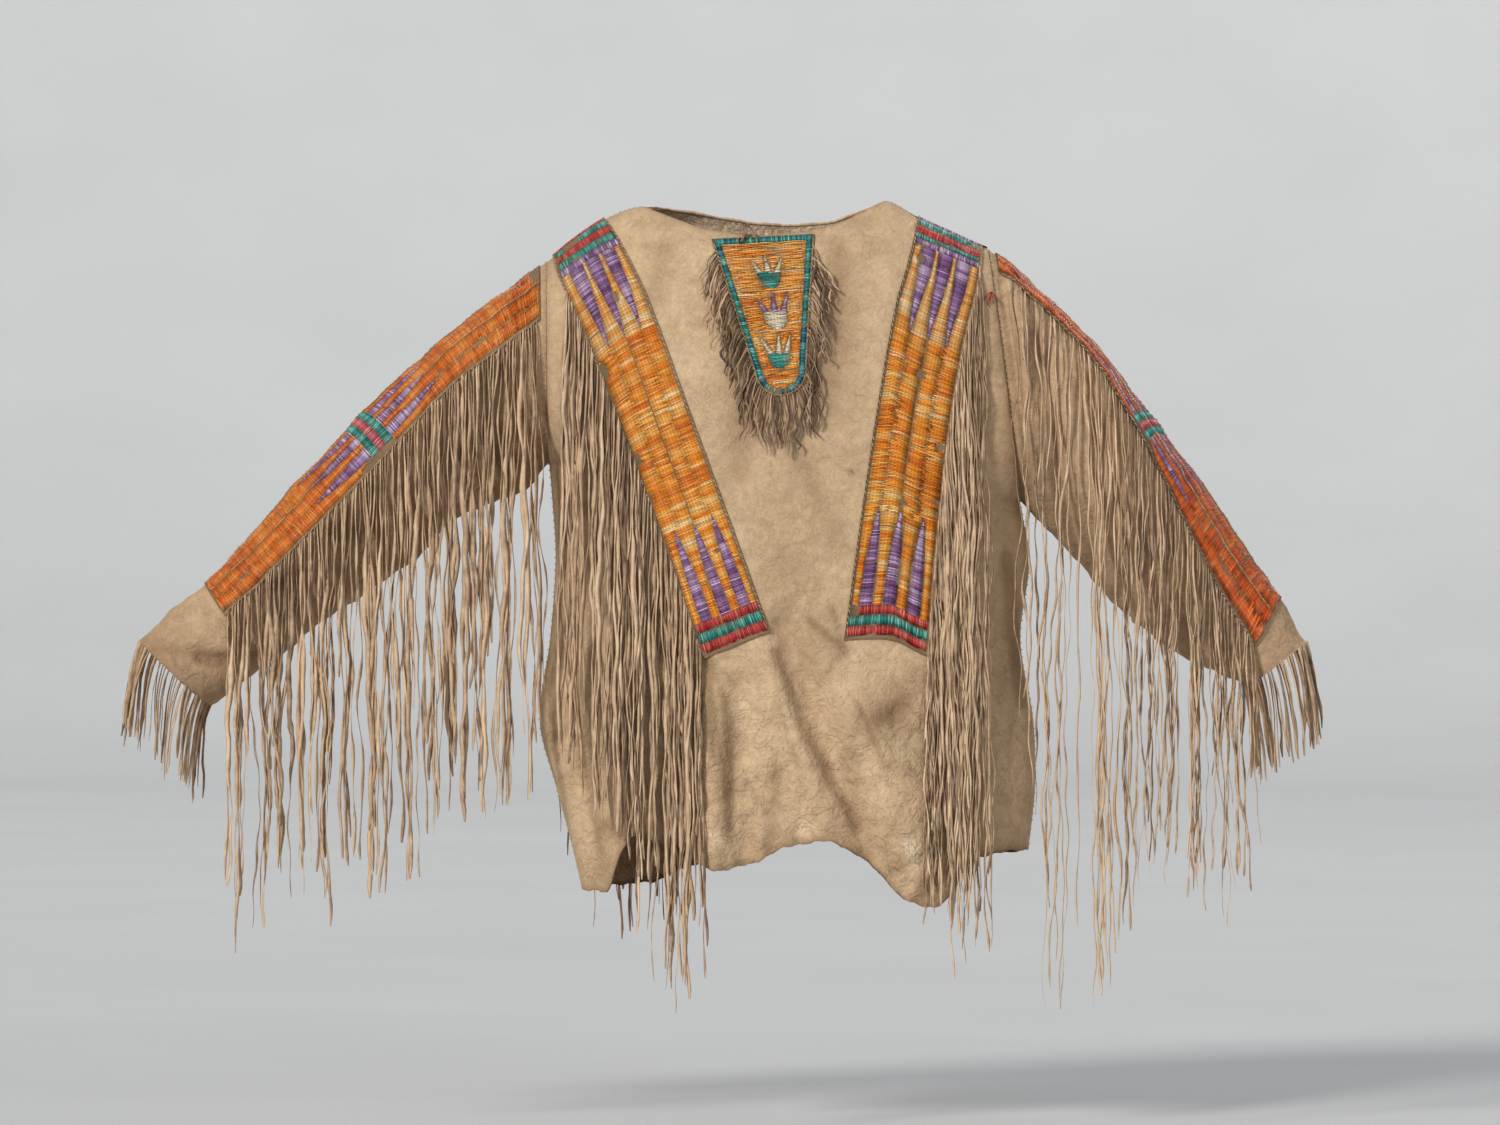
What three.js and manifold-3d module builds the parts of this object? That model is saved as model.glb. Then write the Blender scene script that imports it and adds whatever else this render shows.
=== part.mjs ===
// A Plains war shirt of brain-tanned hide, worn with the sleeves held out and no wearer inside.
// Two hides meet on the shoulders, two sleeves are sewn into the armholes, and quilled strips,
// a quilled bib and cut fringes are sewn on top. Millimetres, +Z up, +X to the viewer's right,
// and the front faces -Y. The origin lies between the neck corners, on the shoulder seam.
import * as THREE from "three";
import { mergeVertices } from "three/addons/utils/BufferGeometryUtils.js";
import Module from "manifold-3d";

const wasm = await Module();
wasm.setup();

// Driving sizes
const HIDE = 2; // thickness of the body and sleeve hides
const SEAM = 0.3; // gap between two pieces that are sewn together
const STRIP = 2.4; // thickness of a quilled strip on its hide backing
const LIE = 1.6; // how far a strip's underside lies off the smooth surface of the hide under it
const THONG = 1.3; // thickness of a cut thong
const BAND = 6; // width of the uncut strip that a fringe hangs from
const FIRST_DROP = 9; // how far below its band a thong has bent to hang down
const SEAM_REACH = 30; // depth below the shoulder seam where the hide is nearly level
const BEND_POWER = 1.8; // a thong's bends crowd towards its root
const CLEAR = 1.4; // how far a hanging thong stays off what it hangs over
const SHOULDER_ROLL = 150; // height over which the body turns from the shoulder seam to the chest
const SIDE_POWER = 2.4; // how square the body's outline is from above: 2 is an ellipse
const ROLL_POWER = 2.2; // how square the shoulder's roll is from the side
const ARMHOLE_DEPTH = { left: 72, right: 80 }; // half the armhole's depth, front to back

// Each side's armhole is a straight line seen from the front, from the shoulder to the armpit.
const ARMHOLE = {
  left: { out: -1, topX: -268, topZ: -71, lowX: -266, lowZ: -322 },
  right: { out: 1, topX: 282, topZ: -56, lowX: 322, lowZ: -369 },
};

// The shoulder seam's height across the shirt
const SHOULDER = [
  { x: -268, z: -71 },
  { x: -234, z: -43 },
  { x: -196, z: -18 },
  { x: -150, z: -2 },
  { x: 0, z: 3 },
  { x: 154, z: 5 },
  { x: 194, z: -16 },
  { x: 236, z: -35 },
  { x: 282, z: -56 },
];

// The neck opening's depth below the shoulder line
const NECK = [
  { x: -150, front: 0, back: 0 },
  { x: -110, front: 20, back: 6 },
  { x: -72, front: 35, back: 13 },
  { x: -26, front: 42, back: 21 },
  { x: 30, front: 43, back: 27 },
  { x: 89, front: 33, back: 25 },
  { x: 131, front: 13, back: 10 },
  { x: 154, front: 0, back: 0 },
];

// The side seams below the armpits
const SIDES = [
  { z: -322, left: -266, right: 318 },
  { z: -369, left: -262, right: 322 },
  { z: -444, left: -258, right: 334 },
  { z: -544, left: -265, right: 323 },
  { z: -644, left: -278, right: 339 },
  { z: -731, left: -256, right: 341 },
  { z: -806, left: -236, right: 333 },
  { z: -860, left: -224, right: 330 },
];

// How far the middle of each hide stands off the mid plane, down the body
const DEPTH = [
  { z: 10, front: 90, back: 80 },
  { z: -150, front: 104, back: 92 },
  { z: -300, front: 108, back: 96 },
  { z: -450, front: 102, back: 92 },
  { z: -600, front: 98, back: 90 },
  { z: -750, front: 102, back: 94 },
  { z: -870, front: 108, back: 98 },
];

// The hems follow the two animals' skins: the front one rises at its middle and dips at each leg.
const FRONT_HEM = [
  { x: -224, z: -854 },
  { x: -202, z: -855 },
  { x: -184, z: -818 },
  { x: -160, z: -788 },
  { x: -128, z: -794 },
  { x: -78, z: -822 },
  { x: -38, z: -826 },
  { x: 35, z: -798 },
  { x: 72, z: -792 },
  { x: 110, z: -802 },
  { x: 141, z: -829 },
  { x: 172, z: -860 },
  { x: 206, z: -874 },
  { x: 234, z: -858 },
  { x: 262, z: -816 },
  { x: 335, z: -804 },
];
const BACK_HEM = [
  { x: -224, z: -850 },
  { x: -152, z: -850 },
  { x: -78, z: -824 },
  { x: 0, z: -804 },
  { x: 72, z: -784 },
  { x: 160, z: -800 },
  { x: 247, z: -818 },
  { x: 335, z: -806 },
];

// Soft ridges (lift above 0) and troughs (below 0) along straight lines on the hides
const FRONT_FOLDS = [
  { fromX: 26, fromZ: -530, toX: 138, toZ: -812, reach: 17, lift: -15 },
  { fromX: 2, fromZ: -560, toX: 92, toZ: -800, reach: 20, lift: 8 },
  { fromX: -28, fromZ: -600, toX: -22, toZ: -830, reach: 15, lift: -9 },
  { fromX: -60, fromZ: -620, toX: -58, toZ: -830, reach: 17, lift: 9 },
  { fromX: 120, fromZ: -610, toX: 214, toZ: -850, reach: 42, lift: 20 },
  { fromX: -190, fromZ: -640, toX: -150, toZ: -800, reach: 26, lift: 14 },
  { fromX: -222, fromZ: -700, toX: -200, toZ: -850, reach: 15, lift: -9 },
  { fromX: 60, fromZ: -180, toX: 118, toZ: -60, reach: 22, lift: 5 },
  { fromX: -96, fromZ: -560, toX: -110, toZ: -800, reach: 16, lift: -8 },
];
const BACK_FOLDS = [
  { fromX: -20, fromZ: -620, toX: -70, toZ: -840, reach: 30, lift: 12 },
  { fromX: 40, fromZ: -300, toX: 44, toZ: -790, reach: 30, lift: -9 },
  { fromX: 110, fromZ: -640, toX: 130, toZ: -800, reach: 32, lift: 12 },
  { fromX: -180, fromZ: -520, toX: -200, toZ: -840, reach: 28, lift: -9 },
];

// A sleeve's sections from armhole to cuff: its top and lowest points seen from the front,
// and half its depth
const LEFT_SLEEVE = [
  { topX: -268, topZ: -71, lowX: -266, lowZ: -322, depth: 72 },
  { topX: -302, topZ: -96, lowX: -292, lowZ: -349, depth: 75 },
  { topX: -342, topZ: -126, lowX: -321, lowZ: -366, depth: 74 },
  { topX: -390, topZ: -162, lowX: -352, lowZ: -380, depth: 70 },
  { topX: -440, topZ: -208, lowX: -388, lowZ: -397, depth: 65 },
  { topX: -494, topZ: -260, lowX: -421, lowZ: -426, depth: 61 },
  { topX: -548, topZ: -314, lowX: -459, lowZ: -458, depth: 57 },
  { topX: -598, topZ: -368, lowX: -501, lowZ: -488, depth: 53 },
  { topX: -640, topZ: -415, lowX: -550, lowZ: -521, depth: 49 },
  { topX: -677, topZ: -456, lowX: -600, lowZ: -559, depth: 46 },
  { topX: -715, topZ: -488, lowX: -644, lowZ: -589, depth: 44 },
  { topX: -749, topZ: -516, lowX: -670, lowZ: -609, depth: 43 },
  { topX: -778, topZ: -544, lowX: -691, lowZ: -626, depth: 44 },
];
const RIGHT_SLEEVE = [
  { topX: 282, topZ: -56, lowX: 322, lowZ: -369, depth: 80 },
  { topX: 316, topZ: -81, lowX: 348, lowZ: -396, depth: 92 },
  { topX: 354, topZ: -114, lowX: 375, lowZ: -425, depth: 100 },
  { topX: 391, topZ: -150, lowX: 400, lowZ: -451, depth: 102 },
  { topX: 424, topZ: -186, lowX: 422, lowZ: -475, depth: 101 },
  { topX: 460, topZ: -228, lowX: 445, lowZ: -499, depth: 97 },
  { topX: 495, topZ: -272, lowX: 468, lowZ: -519, depth: 89 },
  { topX: 529, topZ: -320, lowX: 492, lowZ: -540, depth: 78 },
  { topX: 558, topZ: -364, lowX: 518, lowZ: -559, depth: 66 },
  { topX: 588, topZ: -406, lowX: 544, lowZ: -574, depth: 55 },
  { topX: 619, topZ: -450, lowX: 569, lowZ: -586, depth: 48 },
  { topX: 651, topZ: -496, lowX: 588, lowZ: -595, depth: 44 },
  { topX: 680, topZ: -546, lowX: 604, lowZ: -604, depth: 42 },
];

// Where a sleeve's strip lies round the sleeve, in degrees above the sleeve's front, by section
const LEFT_SLEEVE_STRIP = [
  { section: 0.25, upper: 84, lower: 27 },
  { section: 3, upper: 82, lower: 26 },
  { section: 5, upper: 77, lower: 18 },
  { section: 8, upper: 80, lower: 15 },
  { section: 9.5, upper: 84, lower: 12 },
];
const RIGHT_SLEEVE_STRIP = [
  { section: 0.25, upper: 102, lower: 58 },
  { section: 3, upper: 98, lower: 56 },
  { section: 5, upper: 84, lower: 40 },
  { section: 7, upper: 78, lower: 23 },
  { section: 10.9, upper: 84, lower: -10 },
];

// A shoulder strip's two edges, from the shoulder seam down; drop is the depth below the seam
const LEFT_STRIP = [
  { station: 0, innerX: -196, innerDrop: 0, outerX: -260, outerDrop: 0 },
  { station: 0.06, innerX: -184, innerDrop: 22, outerX: -257, outerDrop: 18 },
  { station: 0.14, innerX: -163, innerDrop: 68, outerX: -241, outerDrop: 70 },
  { station: 0.26, innerX: -136, innerDrop: 132, outerX: -214, outerDrop: 152 },
  { station: 0.5, innerX: -88, innerDrop: 266, outerX: -166, outerDrop: 298 },
  { station: 0.75, innerX: -38, innerDrop: 402, outerX: -118, outerDrop: 434 },
  { station: 1, innerX: 10, innerDrop: 536, outerX: -74, outerDrop: 568 },
];
const RIGHT_STRIP = [
  { station: 0, innerX: 194, innerDrop: 0, outerX: 274, outerDrop: 0 },
  { station: 0.06, innerX: 190, innerDrop: 22, outerX: 273, outerDrop: 20 },
  { station: 0.14, innerX: 180, innerDrop: 68, outerX: 266, outerDrop: 64 },
  { station: 0.26, innerX: 164, innerDrop: 134, outerX: 251, outerDrop: 132 },
  { station: 0.5, innerX: 140, innerDrop: 274, outerX: 231, outerDrop: 258 },
  { station: 0.75, innerX: 120, innerDrop: 412, outerX: 217, outerDrop: 396 },
  { station: 1, innerX: 101, innerDrop: 550, outerX: 206, outerDrop: 542 },
];

// The bib hangs from the front neck edge: a tapered tongue with a round end
const BIB = { topX: 1, topZ: -44, tipX: 27, tipZ: -240, topHalf: 63, endHalf: 31, straight: 0.84 };

// Fringes: how many thongs, how wide, how far they lean outwards and where their ends hang
const SLEEVE_FRINGE = { width: 5.2, leftCount: 44, rightCount: 34, lean: 2.4, ragged: 90, bends: 3 };
const CHEST_FRINGE = {
  leftWidth: 4.2, rightWidth: 3, root: 0.0072, leftLean: 8, rightLean: 20, ragged: 60, bends: 3,
};
const CHEST_START = 0.15; // where the chest fringes start, as a share of the strip's length
const CHEST_LAYERS = [
  { name: "under", count: 15, shift: 0, bandLift: 0 },
  { name: "over", count: 14, shift: 0.5, bandLift: 2.3 * THONG },
];
const BACK_LAYER = { count: 14, shift: 0, bandLift: 0 };
const CUFF_FRINGE = { count: 16, root: 0.4, shortest: 88, longest: 118, flare: 7 };
const BIB_FRINGE = {
  width: 3.2, root: 0.0084, count: 28, side: 50, end: 66, ragged: 14, lean: 22, layers: 4, layerLift: 1.7,
};
const TIP = 0.6; // a thong's width at its tip as a share of its width
const LEFT_SLEEVE_ENDS = [
  { x: -700, z: -560 },
  { x: -640, z: -925 },
  { x: -585, z: -905 },
  { x: -530, z: -860 },
  { x: -470, z: -850 },
  { x: -410, z: -830 },
  { x: -350, z: -760 },
  { x: -300, z: -735 },
  { x: -270, z: -620 },
];
const RIGHT_SLEEVE_ENDS = [
  { x: 300, z: -620 },
  { x: 340, z: -800 },
  { x: 362, z: -965 },
  { x: 420, z: -940 },
  { x: 450, z: -880 },
  { x: 500, z: -790 },
  { x: 545, z: -850 },
  { x: 590, z: -840 },
  { x: 620, z: -730 },
];
const LEFT_CHEST_ENDS = [
  { x: -266, z: -640 },
  { x: -200, z: -730 },
  { x: -160, z: -780 },
  { x: -138, z: -920 },
  { x: -100, z: -985 },
  { x: -70, z: -930 },
];
const RIGHT_CHEST_ENDS = [
  { x: 206, z: -860 },
  { x: 255, z: -930 },
  { x: 285, z: -880 },
  { x: 315, z: -790 },
];
const BACK_ENDS = [
  { x: -266, z: -880 },
  { x: -160, z: -880 },
  { x: -70, z: -850 },
  { x: 206, z: -840 },
  { x: 315, z: -870 },
];

// Reading a table: a smooth curve through its rows, level beyond the first and last
function read(table, key, column, at) {
  const rows = table[0][key] < table[table.length - 1][key] ? table : [...table].reverse();
  const last = rows.length - 1;
  if (at <= rows[0][key]) return rows[0][column];
  if (at >= rows[last][key]) return rows[last][column];
  const i = rows.findIndex((row, n) => n < last && at <= rows[n + 1][key]);
  const slope = (n) => {
    const before = rows[Math.max(n - 1, 0)];
    const after = rows[Math.min(n + 1, last)];
    return (after[column] - before[column]) / (after[key] - before[key]);
  };
  const span = rows[i + 1][key] - rows[i][key];
  const t = (at - rows[i][key]) / span;
  const rise = t * t * (3 - 2 * t);
  return (
    rows[i][column] * (1 - rise) +
    rows[i + 1][column] * rise +
    span * (t * (1 - t) * (1 - t) * slope(i) - t * t * (1 - t) * slope(i + 1))
  );
}

const mix = (a, b, t) => a + (b - a) * t;
const clamp = (value, low, high) => Math.min(Math.max(value, low), high);
const radians = (degrees) => (degrees * Math.PI) / 180;

// A repeatable random number from 0 to 1 for thong number n
function chance(n, kind = 0) {
  const s = Math.sin(n * 127.1 + kind * 311.7 + 17.3) * 43758.5453;
  return s - Math.floor(s);
}

// The body
const shoulderZ = (x) => read(SHOULDER, "x", "z", x);

function armholeX(side, z) {
  const { topX, topZ, lowX, lowZ } = ARMHOLE[side];
  return mix(lowX, topX, (z - lowZ) / (topZ - lowZ));
}

function sideX(side, z) {
  return z >= ARMHOLE[side].lowZ ? armholeX(side, z) : read(SIDES, "z", side, z);
}

// How far the hide's edge stands off the mid plane: the armhole's half oval, and 0 below it
function edgeDepth(side, z) {
  const { topZ, lowZ } = ARMHOLE[side];
  const share = (2 * z - topZ - lowZ) / (topZ - lowZ);
  return Math.abs(share) < 1 ? ARMHOLE_DEPTH[side] * Math.sqrt(1 - share * share) : 0;
}

function acrossX(across, z) {
  return mix(sideX("left", z), sideX("right", z), (across + 1) / 2);
}

function foldLift(folds, x, z) {
  let lift = 0;
  for (const fold of folds) {
    const runX = fold.toX - fold.fromX;
    const runZ = fold.toZ - fold.fromZ;
    const length = Math.hypot(runX, runZ);
    const along = ((x - fold.fromX) * runX + (z - fold.fromZ) * runZ) / length;
    const aside = ((x - fold.fromX) * runZ - (z - fold.fromZ) * runX) / length;
    const past = Math.max(-along, along - length, 0);
    lift += fold.lift * Math.exp(-(aside * aside + past * past) / (fold.reach * fold.reach));
  }
  return lift;
}

// A point on the outer face of the front (face -1) or back (face 1) hide, lifted off it by out
function bodySkin(face, x, z) {
  const left = sideX("left", z);
  const right = sideX("right", z);
  const across = clamp((2 * x - left - right) / (right - left), -1, 1);
  const round = Math.pow(1 - Math.pow(Math.abs(across), SIDE_POWER), 1 / SIDE_POWER);
  const rise = clamp(1 - (shoulderZ(x) - z) / SHOULDER_ROLL, 0, 1);
  const roll = Math.pow(1 - Math.pow(rise, ROLL_POWER), 1 / ROLL_POWER);
  const edge = edgeDepth(across < 0 ? "left" : "right", z);
  const middle = read(DEPTH, "z", face < 0 ? "front" : "back", z) * roll;
  const folds = foldLift(face < 0 ? FRONT_FOLDS : BACK_FOLDS, x, z) * round * roll;
  return face * (mix(edge, middle, round) + folds);
}

function bodyPoint(face, x, z, out = 0) {
  const step = 2;
  const here = bodySkin(face, x, z);
  if (out === 0) return new THREE.Vector3(x, here, z);
  const high = Math.min(z + step, shoulderZ(x));
  const slopeX = (bodySkin(face, x + step, z) - bodySkin(face, x - step, z)) / (2 * step);
  const slopeZ = (bodySkin(face, x, high) - bodySkin(face, x, high - step)) / step;
  const normal = new THREE.Vector3(-slopeX * face, face, -slopeZ * face).normalize();
  if (shoulderZ(x) - z < 0.01) normal.set(0, 0, 1);
  return new THREE.Vector3(x, here, z).addScaledVector(normal, out);
}

function neckZ(face, x) {
  return shoulderZ(x) - read(NECK, "x", face < 0 ? "front" : "back", x);
}

// A sleeve: section number is along the arm, angle is round it from its front up to its top
function sleevePoint(table, section, angle, out = 0) {
  const rows = table.map((row, number) => ({ ...row, number }));
  const at = (column) => read(rows, "number", column, section);
  const top = new THREE.Vector2(at("topX"), at("topZ"));
  const low = new THREE.Vector2(at("lowX"), at("lowZ"));
  const middle = top.clone().add(low).multiplyScalar(0.5);
  const half = top.clone().sub(low).multiplyScalar(0.5);
  const tall = half.length();
  const deep = at("depth");
  const up = Math.sin(angle);
  const forward = Math.cos(angle);
  const normalLength = Math.hypot(up / tall, forward / deep);
  const lift = 1 + (out * up) / tall / normalLength / (up * tall || 1);
  const upright = up === 0 ? 0 : up * lift;
  const ahead = forward * deep + (out * forward) / deep / normalLength;
  return new THREE.Vector3(middle.x + half.x * upright, -ahead, middle.y + half.y * upright);
}

const FINISH = {
  hide: { color: 0xb59a78, roughness: 0.95, metalness: 0 },
  quill: { color: 0xd98a35, roughness: 0.6, metalness: 0 },
  thong: { color: 0xa08766, roughness: 0.95, metalness: 0 },
};

// A closed mesh from points and triangles, turned so that its faces point outwards
function closedMesh(name, points, faces, finish) {
  const position = new Float32Array(points.flatMap((p) => [p.x, p.y, p.z]));
  let volume = 0;
  for (const [a, b, c] of faces) {
    volume += points[a].dot(points[b].clone().cross(points[c]));
  }
  const order = volume < 0 ? faces.map(([a, b, c]) => [a, c, b]) : faces;
  const geometry = new THREE.BufferGeometry();
  geometry.setAttribute("position", new THREE.BufferAttribute(position, 3));
  geometry.setIndex(order.flat());
  geometry.computeVertexNormals();
  const mesh = new THREE.Mesh(geometry, new THREE.MeshStandardMaterial(FINISH[finish]));
  mesh.name = name;
  return mesh;
}

const quad = (a, b, c, d) => [
  [a, b, c],
  [a, c, d],
];

// A wall between an outer and an inner grid of points, each grid a list of columns. A tube's
// columns join up round it. Both faces are split along the same diagonals, so that a fold never
// pushes one through the other.
function wall(name, outer, inner, finish, tube = false) {
  const columns = outer.length;
  const rows = outer[0].length;
  const points = [...outer.flat(), ...inner.flat()];
  const o = (i, j) => (i % columns) * rows + j;
  const n = (i, j) => columns * rows + o(i, j);
  const faces = [];
  const spans = tube ? columns : columns - 1;
  for (let i = 0; i < spans; i++) {
    for (let j = 0; j < rows - 1; j++) {
      faces.push(...quad(o(i, j), o(i, j + 1), o(i + 1, j + 1), o(i + 1, j)));
      faces.push(...quad(n(i, j), n(i + 1, j), n(i + 1, j + 1), n(i, j + 1)));
    }
    faces.push(...quad(o(i, 0), o(i + 1, 0), n(i + 1, 0), n(i, 0)));
    faces.push(...quad(o(i + 1, rows - 1), o(i, rows - 1), n(i, rows - 1), n(i + 1, rows - 1)));
  }
  for (let j = 0; j < rows - 1 && !tube; j++) {
    faces.push(...quad(o(0, j), n(0, j), n(0, j + 1), o(0, j + 1)));
    const end = columns - 1;
    faces.push(...quad(o(end, j), o(end, j + 1), n(end, j + 1), n(end, j)));
  }
  return closedMesh(name, points, faces, finish);
}

// The inner face of a wall: each outer point moved in along the grid's own normal
function movedIn(outer, thickness, inward, tube = false) {
  const columns = outer.length;
  return outer.map((column, i) =>
    column.map((point, j) => {
      const before = tube ? outer[(i + columns - 1) % columns] : outer[Math.max(i - 1, 0)];
      const after = tube ? outer[(i + 1) % columns] : outer[Math.min(i + 1, columns - 1)];
      const across = after[j].clone().sub(before[j]);
      const down = column[Math.min(j + 1, column.length - 1)].clone();
      down.sub(column[Math.max(j - 1, 0)]);
      const normal = across.cross(down).normalize();
      if (normal.dot(inward(point)) < 0) normal.negate();
      return point.clone().addScaledVector(normal, thickness);
    }),
  );
}

// A mesh as a solid that can be cut, and back again
function solidOf(mesh) {
  const bare = new THREE.BufferGeometry();
  bare.setAttribute("position", mesh.geometry.getAttribute("position"));
  bare.setIndex(mesh.geometry.getIndex());
  const merged = mergeVertices(bare, 1e-4);
  const vertProperties = merged.getAttribute("position").array;
  const triVerts = new Uint32Array(merged.getIndex().array);
  return new wasm.Manifold(new wasm.Mesh({ numProp: 3, vertProperties, triVerts }));
}

// The mesh with its underside cut back where it would touch the hides that it is sewn to
function seated(mesh, hides) {
  const cut = hides.reduce((solid, hide) => solid.subtract(hide), solidOf(mesh));
  const { vertProperties, triVerts } = cut.getMesh();
  mesh.geometry = new THREE.BufferGeometry();
  mesh.geometry.setAttribute("position", new THREE.BufferAttribute(vertProperties, 3));
  mesh.geometry.setIndex(new THREE.BufferAttribute(triVerts, 1));
  mesh.geometry.computeVertexNormals();
  return mesh;
}

// The front and back hides
const SHOULDER_COLUMNS = 6;
const NECK_COLUMNS = 9;
const HIDE_ROWS = { front: 21, back: 15 };
const ROW_POWER = 1.55; // rows crowd towards the shoulder, where the hide turns over
const HEM_LEVEL = -800; // where the columns' places along the hems are read

function acrossList() {
  const z = shoulderZ(0);
  const width = sideX("right", z) - sideX("left", z);
  const cornerOf = (x) => (2 * x - sideX("left", z) - sideX("right", z)) / width;
  const left = cornerOf(NECK[0].x);
  const right = cornerOf(NECK[NECK.length - 1].x);
  const list = [];
  for (let k = 0; k < SHOULDER_COLUMNS; k++) {
    list.push(-1 + (1 + left) * (1 - Math.cos((Math.PI / 2) * (k / SHOULDER_COLUMNS))));
  }
  for (let k = 0; k < NECK_COLUMNS; k++) {
    list.push(mix(left, right, k / NECK_COLUMNS));
  }
  for (let k = SHOULDER_COLUMNS; k >= 0; k--) {
    list.push(1 - (1 - right) * (1 - Math.cos((Math.PI / 2) * (k / SHOULDER_COLUMNS))));
  }
  return list;
}

// The outer face of the front or back hide, as columns of points from the neck or shoulder down
function hideGrid(face) {
  const hem = face < 0 ? FRONT_HEM : BACK_HEM;
  const rows = face < 0 ? HIDE_ROWS.front : HIDE_ROWS.back;
  return acrossList().map((across) => {
    const topZ = neckZ(face, acrossX(across, shoulderZ(0)));
    const hemZ = read(hem, "x", "z", acrossX(across, HEM_LEVEL));
    const column = [];
    for (let j = 0; j <= rows; j++) {
      const z = mix(topZ, hemZ, Math.pow(j / rows, ROW_POWER));
      column.push(bodyPoint(face, acrossX(across, z), z));
    }
    return column;
  });
}

const towardsInside = (face) => (p) =>
  new THREE.Vector3(0, -face, shoulderZ(p.x) - p.z < SEAM_REACH ? -1 : 0);

// The room that a hide takes up with a seam's width round it, which what is sewn on stays out of
function hideRoom(face) {
  const outer = hideGrid(face);
  const above = movedIn(outer, -SEAM, towardsInside(face));
  const below = movedIn(outer, 4 * HIDE, towardsInside(face));
  return solidOf(wall("room", above, below, "hide"));
}

function hidePanel(name, face) {
  const outer = hideGrid(face);
  const inner = movedIn(outer, HIDE, towardsInside(face));
  const last = outer.length - 1;
  for (const grid of [outer, inner]) {
    for (let i = 0; i <= last; i++) {
      const onSeam = i <= SHOULDER_COLUMNS || i >= last - SHOULDER_COLUMNS;
      if (onSeam) grid[i][0].y = (face * SEAM) / 2;
    }
    for (const [i, side] of [[0, "left"], [last, "right"]]) {
      const hole = ARMHOLE[side];
      for (const point of grid[i]) {
        if (point.z > hole.lowZ) point.x = armholeX(side, point.z) - (hole.out * SEAM) / 2;
        else point.y = (face * SEAM) / 2;
      }
    }
  }
  return wall(name, outer, inner, "hide");
}

const front = hidePanel("front_hide", -1);
const back = hidePanel("back_hide", 1);
const bodyRoom = [hideRoom(-1), hideRoom(1)];

// The sleeves
const SLEEVE_AROUND = 16;

function sleeve(name, table, side) {
  const outer = [];
  for (let i = 0; i < SLEEVE_AROUND; i++) {
    const angle = (2 * Math.PI * i) / SLEEVE_AROUND;
    outer.push(table.map((row, section) => sleevePoint(table, section, angle)));
  }
  const middle = (p) => {
    const row = table.reduce((best, r) => {
      const far = (t) => Math.hypot((t.topX + t.lowX) / 2 - p.x, (t.topZ + t.lowZ) / 2 - p.z);
      return far(r) < far(best) ? r : best;
    });
    return new THREE.Vector3((row.topX + row.lowX) / 2, 0, (row.topZ + row.lowZ) / 2).sub(p);
  };
  const inner = movedIn(outer, HIDE, middle, true);
  for (const column of [...outer, ...inner]) {
    column[0].x = armholeX(side, column[0].z) + (ARMHOLE[side].out * SEAM) / 2;
  }
  return wall(name, outer, inner, "hide", true);
}

const leftSleeve = sleeve("left_sleeve", LEFT_SLEEVE, "left");
const rightSleeve = sleeve("right_sleeve", RIGHT_SLEEVE, "right");

// How far the given meshes stand out at a place, towards the viewer (face -1) or away (face 1)
const sight = new THREE.Raycaster();

function standsOut(meshes, face, x, z) {
  sight.set(new THREE.Vector3(x, face * 400, z), new THREE.Vector3(0, -face, 0));
  const hits = sight.intersectObjects(meshes, false);
  return hits.length ? face * hits[0].point.y : 0;
}

// A point on a hide's own facets, lifted off it by out
function onHide(face, x, z, out) {
  const point = bodyPoint(face, x, z, out);
  if (shoulderZ(x) - z < SEAM_REACH) return point;
  const facet = standsOut([face < 0 ? front : back], face, x, z);
  point.y += face * Math.max(facet - face * bodySkin(face, x, z), 0);
  return point;
}

// Quilled strips
const STRIP_COLUMNS = 4;
const STRIP_ROWS = 15; // from the seam to one end

function stripEdge(table, station, share) {
  const at = (column) => read(table, "station", column, station);
  return {
    x: mix(at("innerX"), at("outerX"), share),
    drop: mix(at("innerDrop"), at("outerDrop"), share),
  };
}

// A point over the body's strip: station runs from 1 at the front end, over the seam, to -1
function stripPoint(table, station, share, out) {
  const { x, drop } = stripEdge(table, Math.abs(station), share);
  return onHide(station >= 0 ? -1 : 1, x, shoulderZ(x) - drop, out);
}

function shoulderStrip(name, table) {
  const layer = (out) => {
    const grid = [];
    for (let i = 0; i <= STRIP_COLUMNS; i++) {
      const column = [];
      for (let j = -STRIP_ROWS; j <= STRIP_ROWS; j++) {
        const station = -Math.sign(j) * Math.pow(Math.abs(j) / STRIP_ROWS, ROW_POWER);
        column.push(stripPoint(table, station, i / STRIP_COLUMNS, out));
      }
      grid.push(column);
    }
    return grid;
  };
  return wall(name, layer(LIE + STRIP), layer(LIE), "quill");
}

function sleeveStrip(name, table, strip) {
  const first = strip[0].section;
  const last = strip[strip.length - 1].section;
  const layer = (out) => {
    const grid = [];
    for (let i = 0; i <= STRIP_COLUMNS; i++) {
      const column = [];
      for (let j = 0; j <= STRIP_ROWS; j++) {
        const section = mix(first, last, j / STRIP_ROWS);
        const lower = read(strip, "section", "lower", section);
        const upper = read(strip, "section", "upper", section);
        column.push(sleevePoint(table, section, radians(mix(lower, upper, i / STRIP_COLUMNS)), out));
      }
      grid.push(column);
    }
    return grid;
  };
  return wall(name, layer(LIE + STRIP), layer(LIE), "quill");
}

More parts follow.
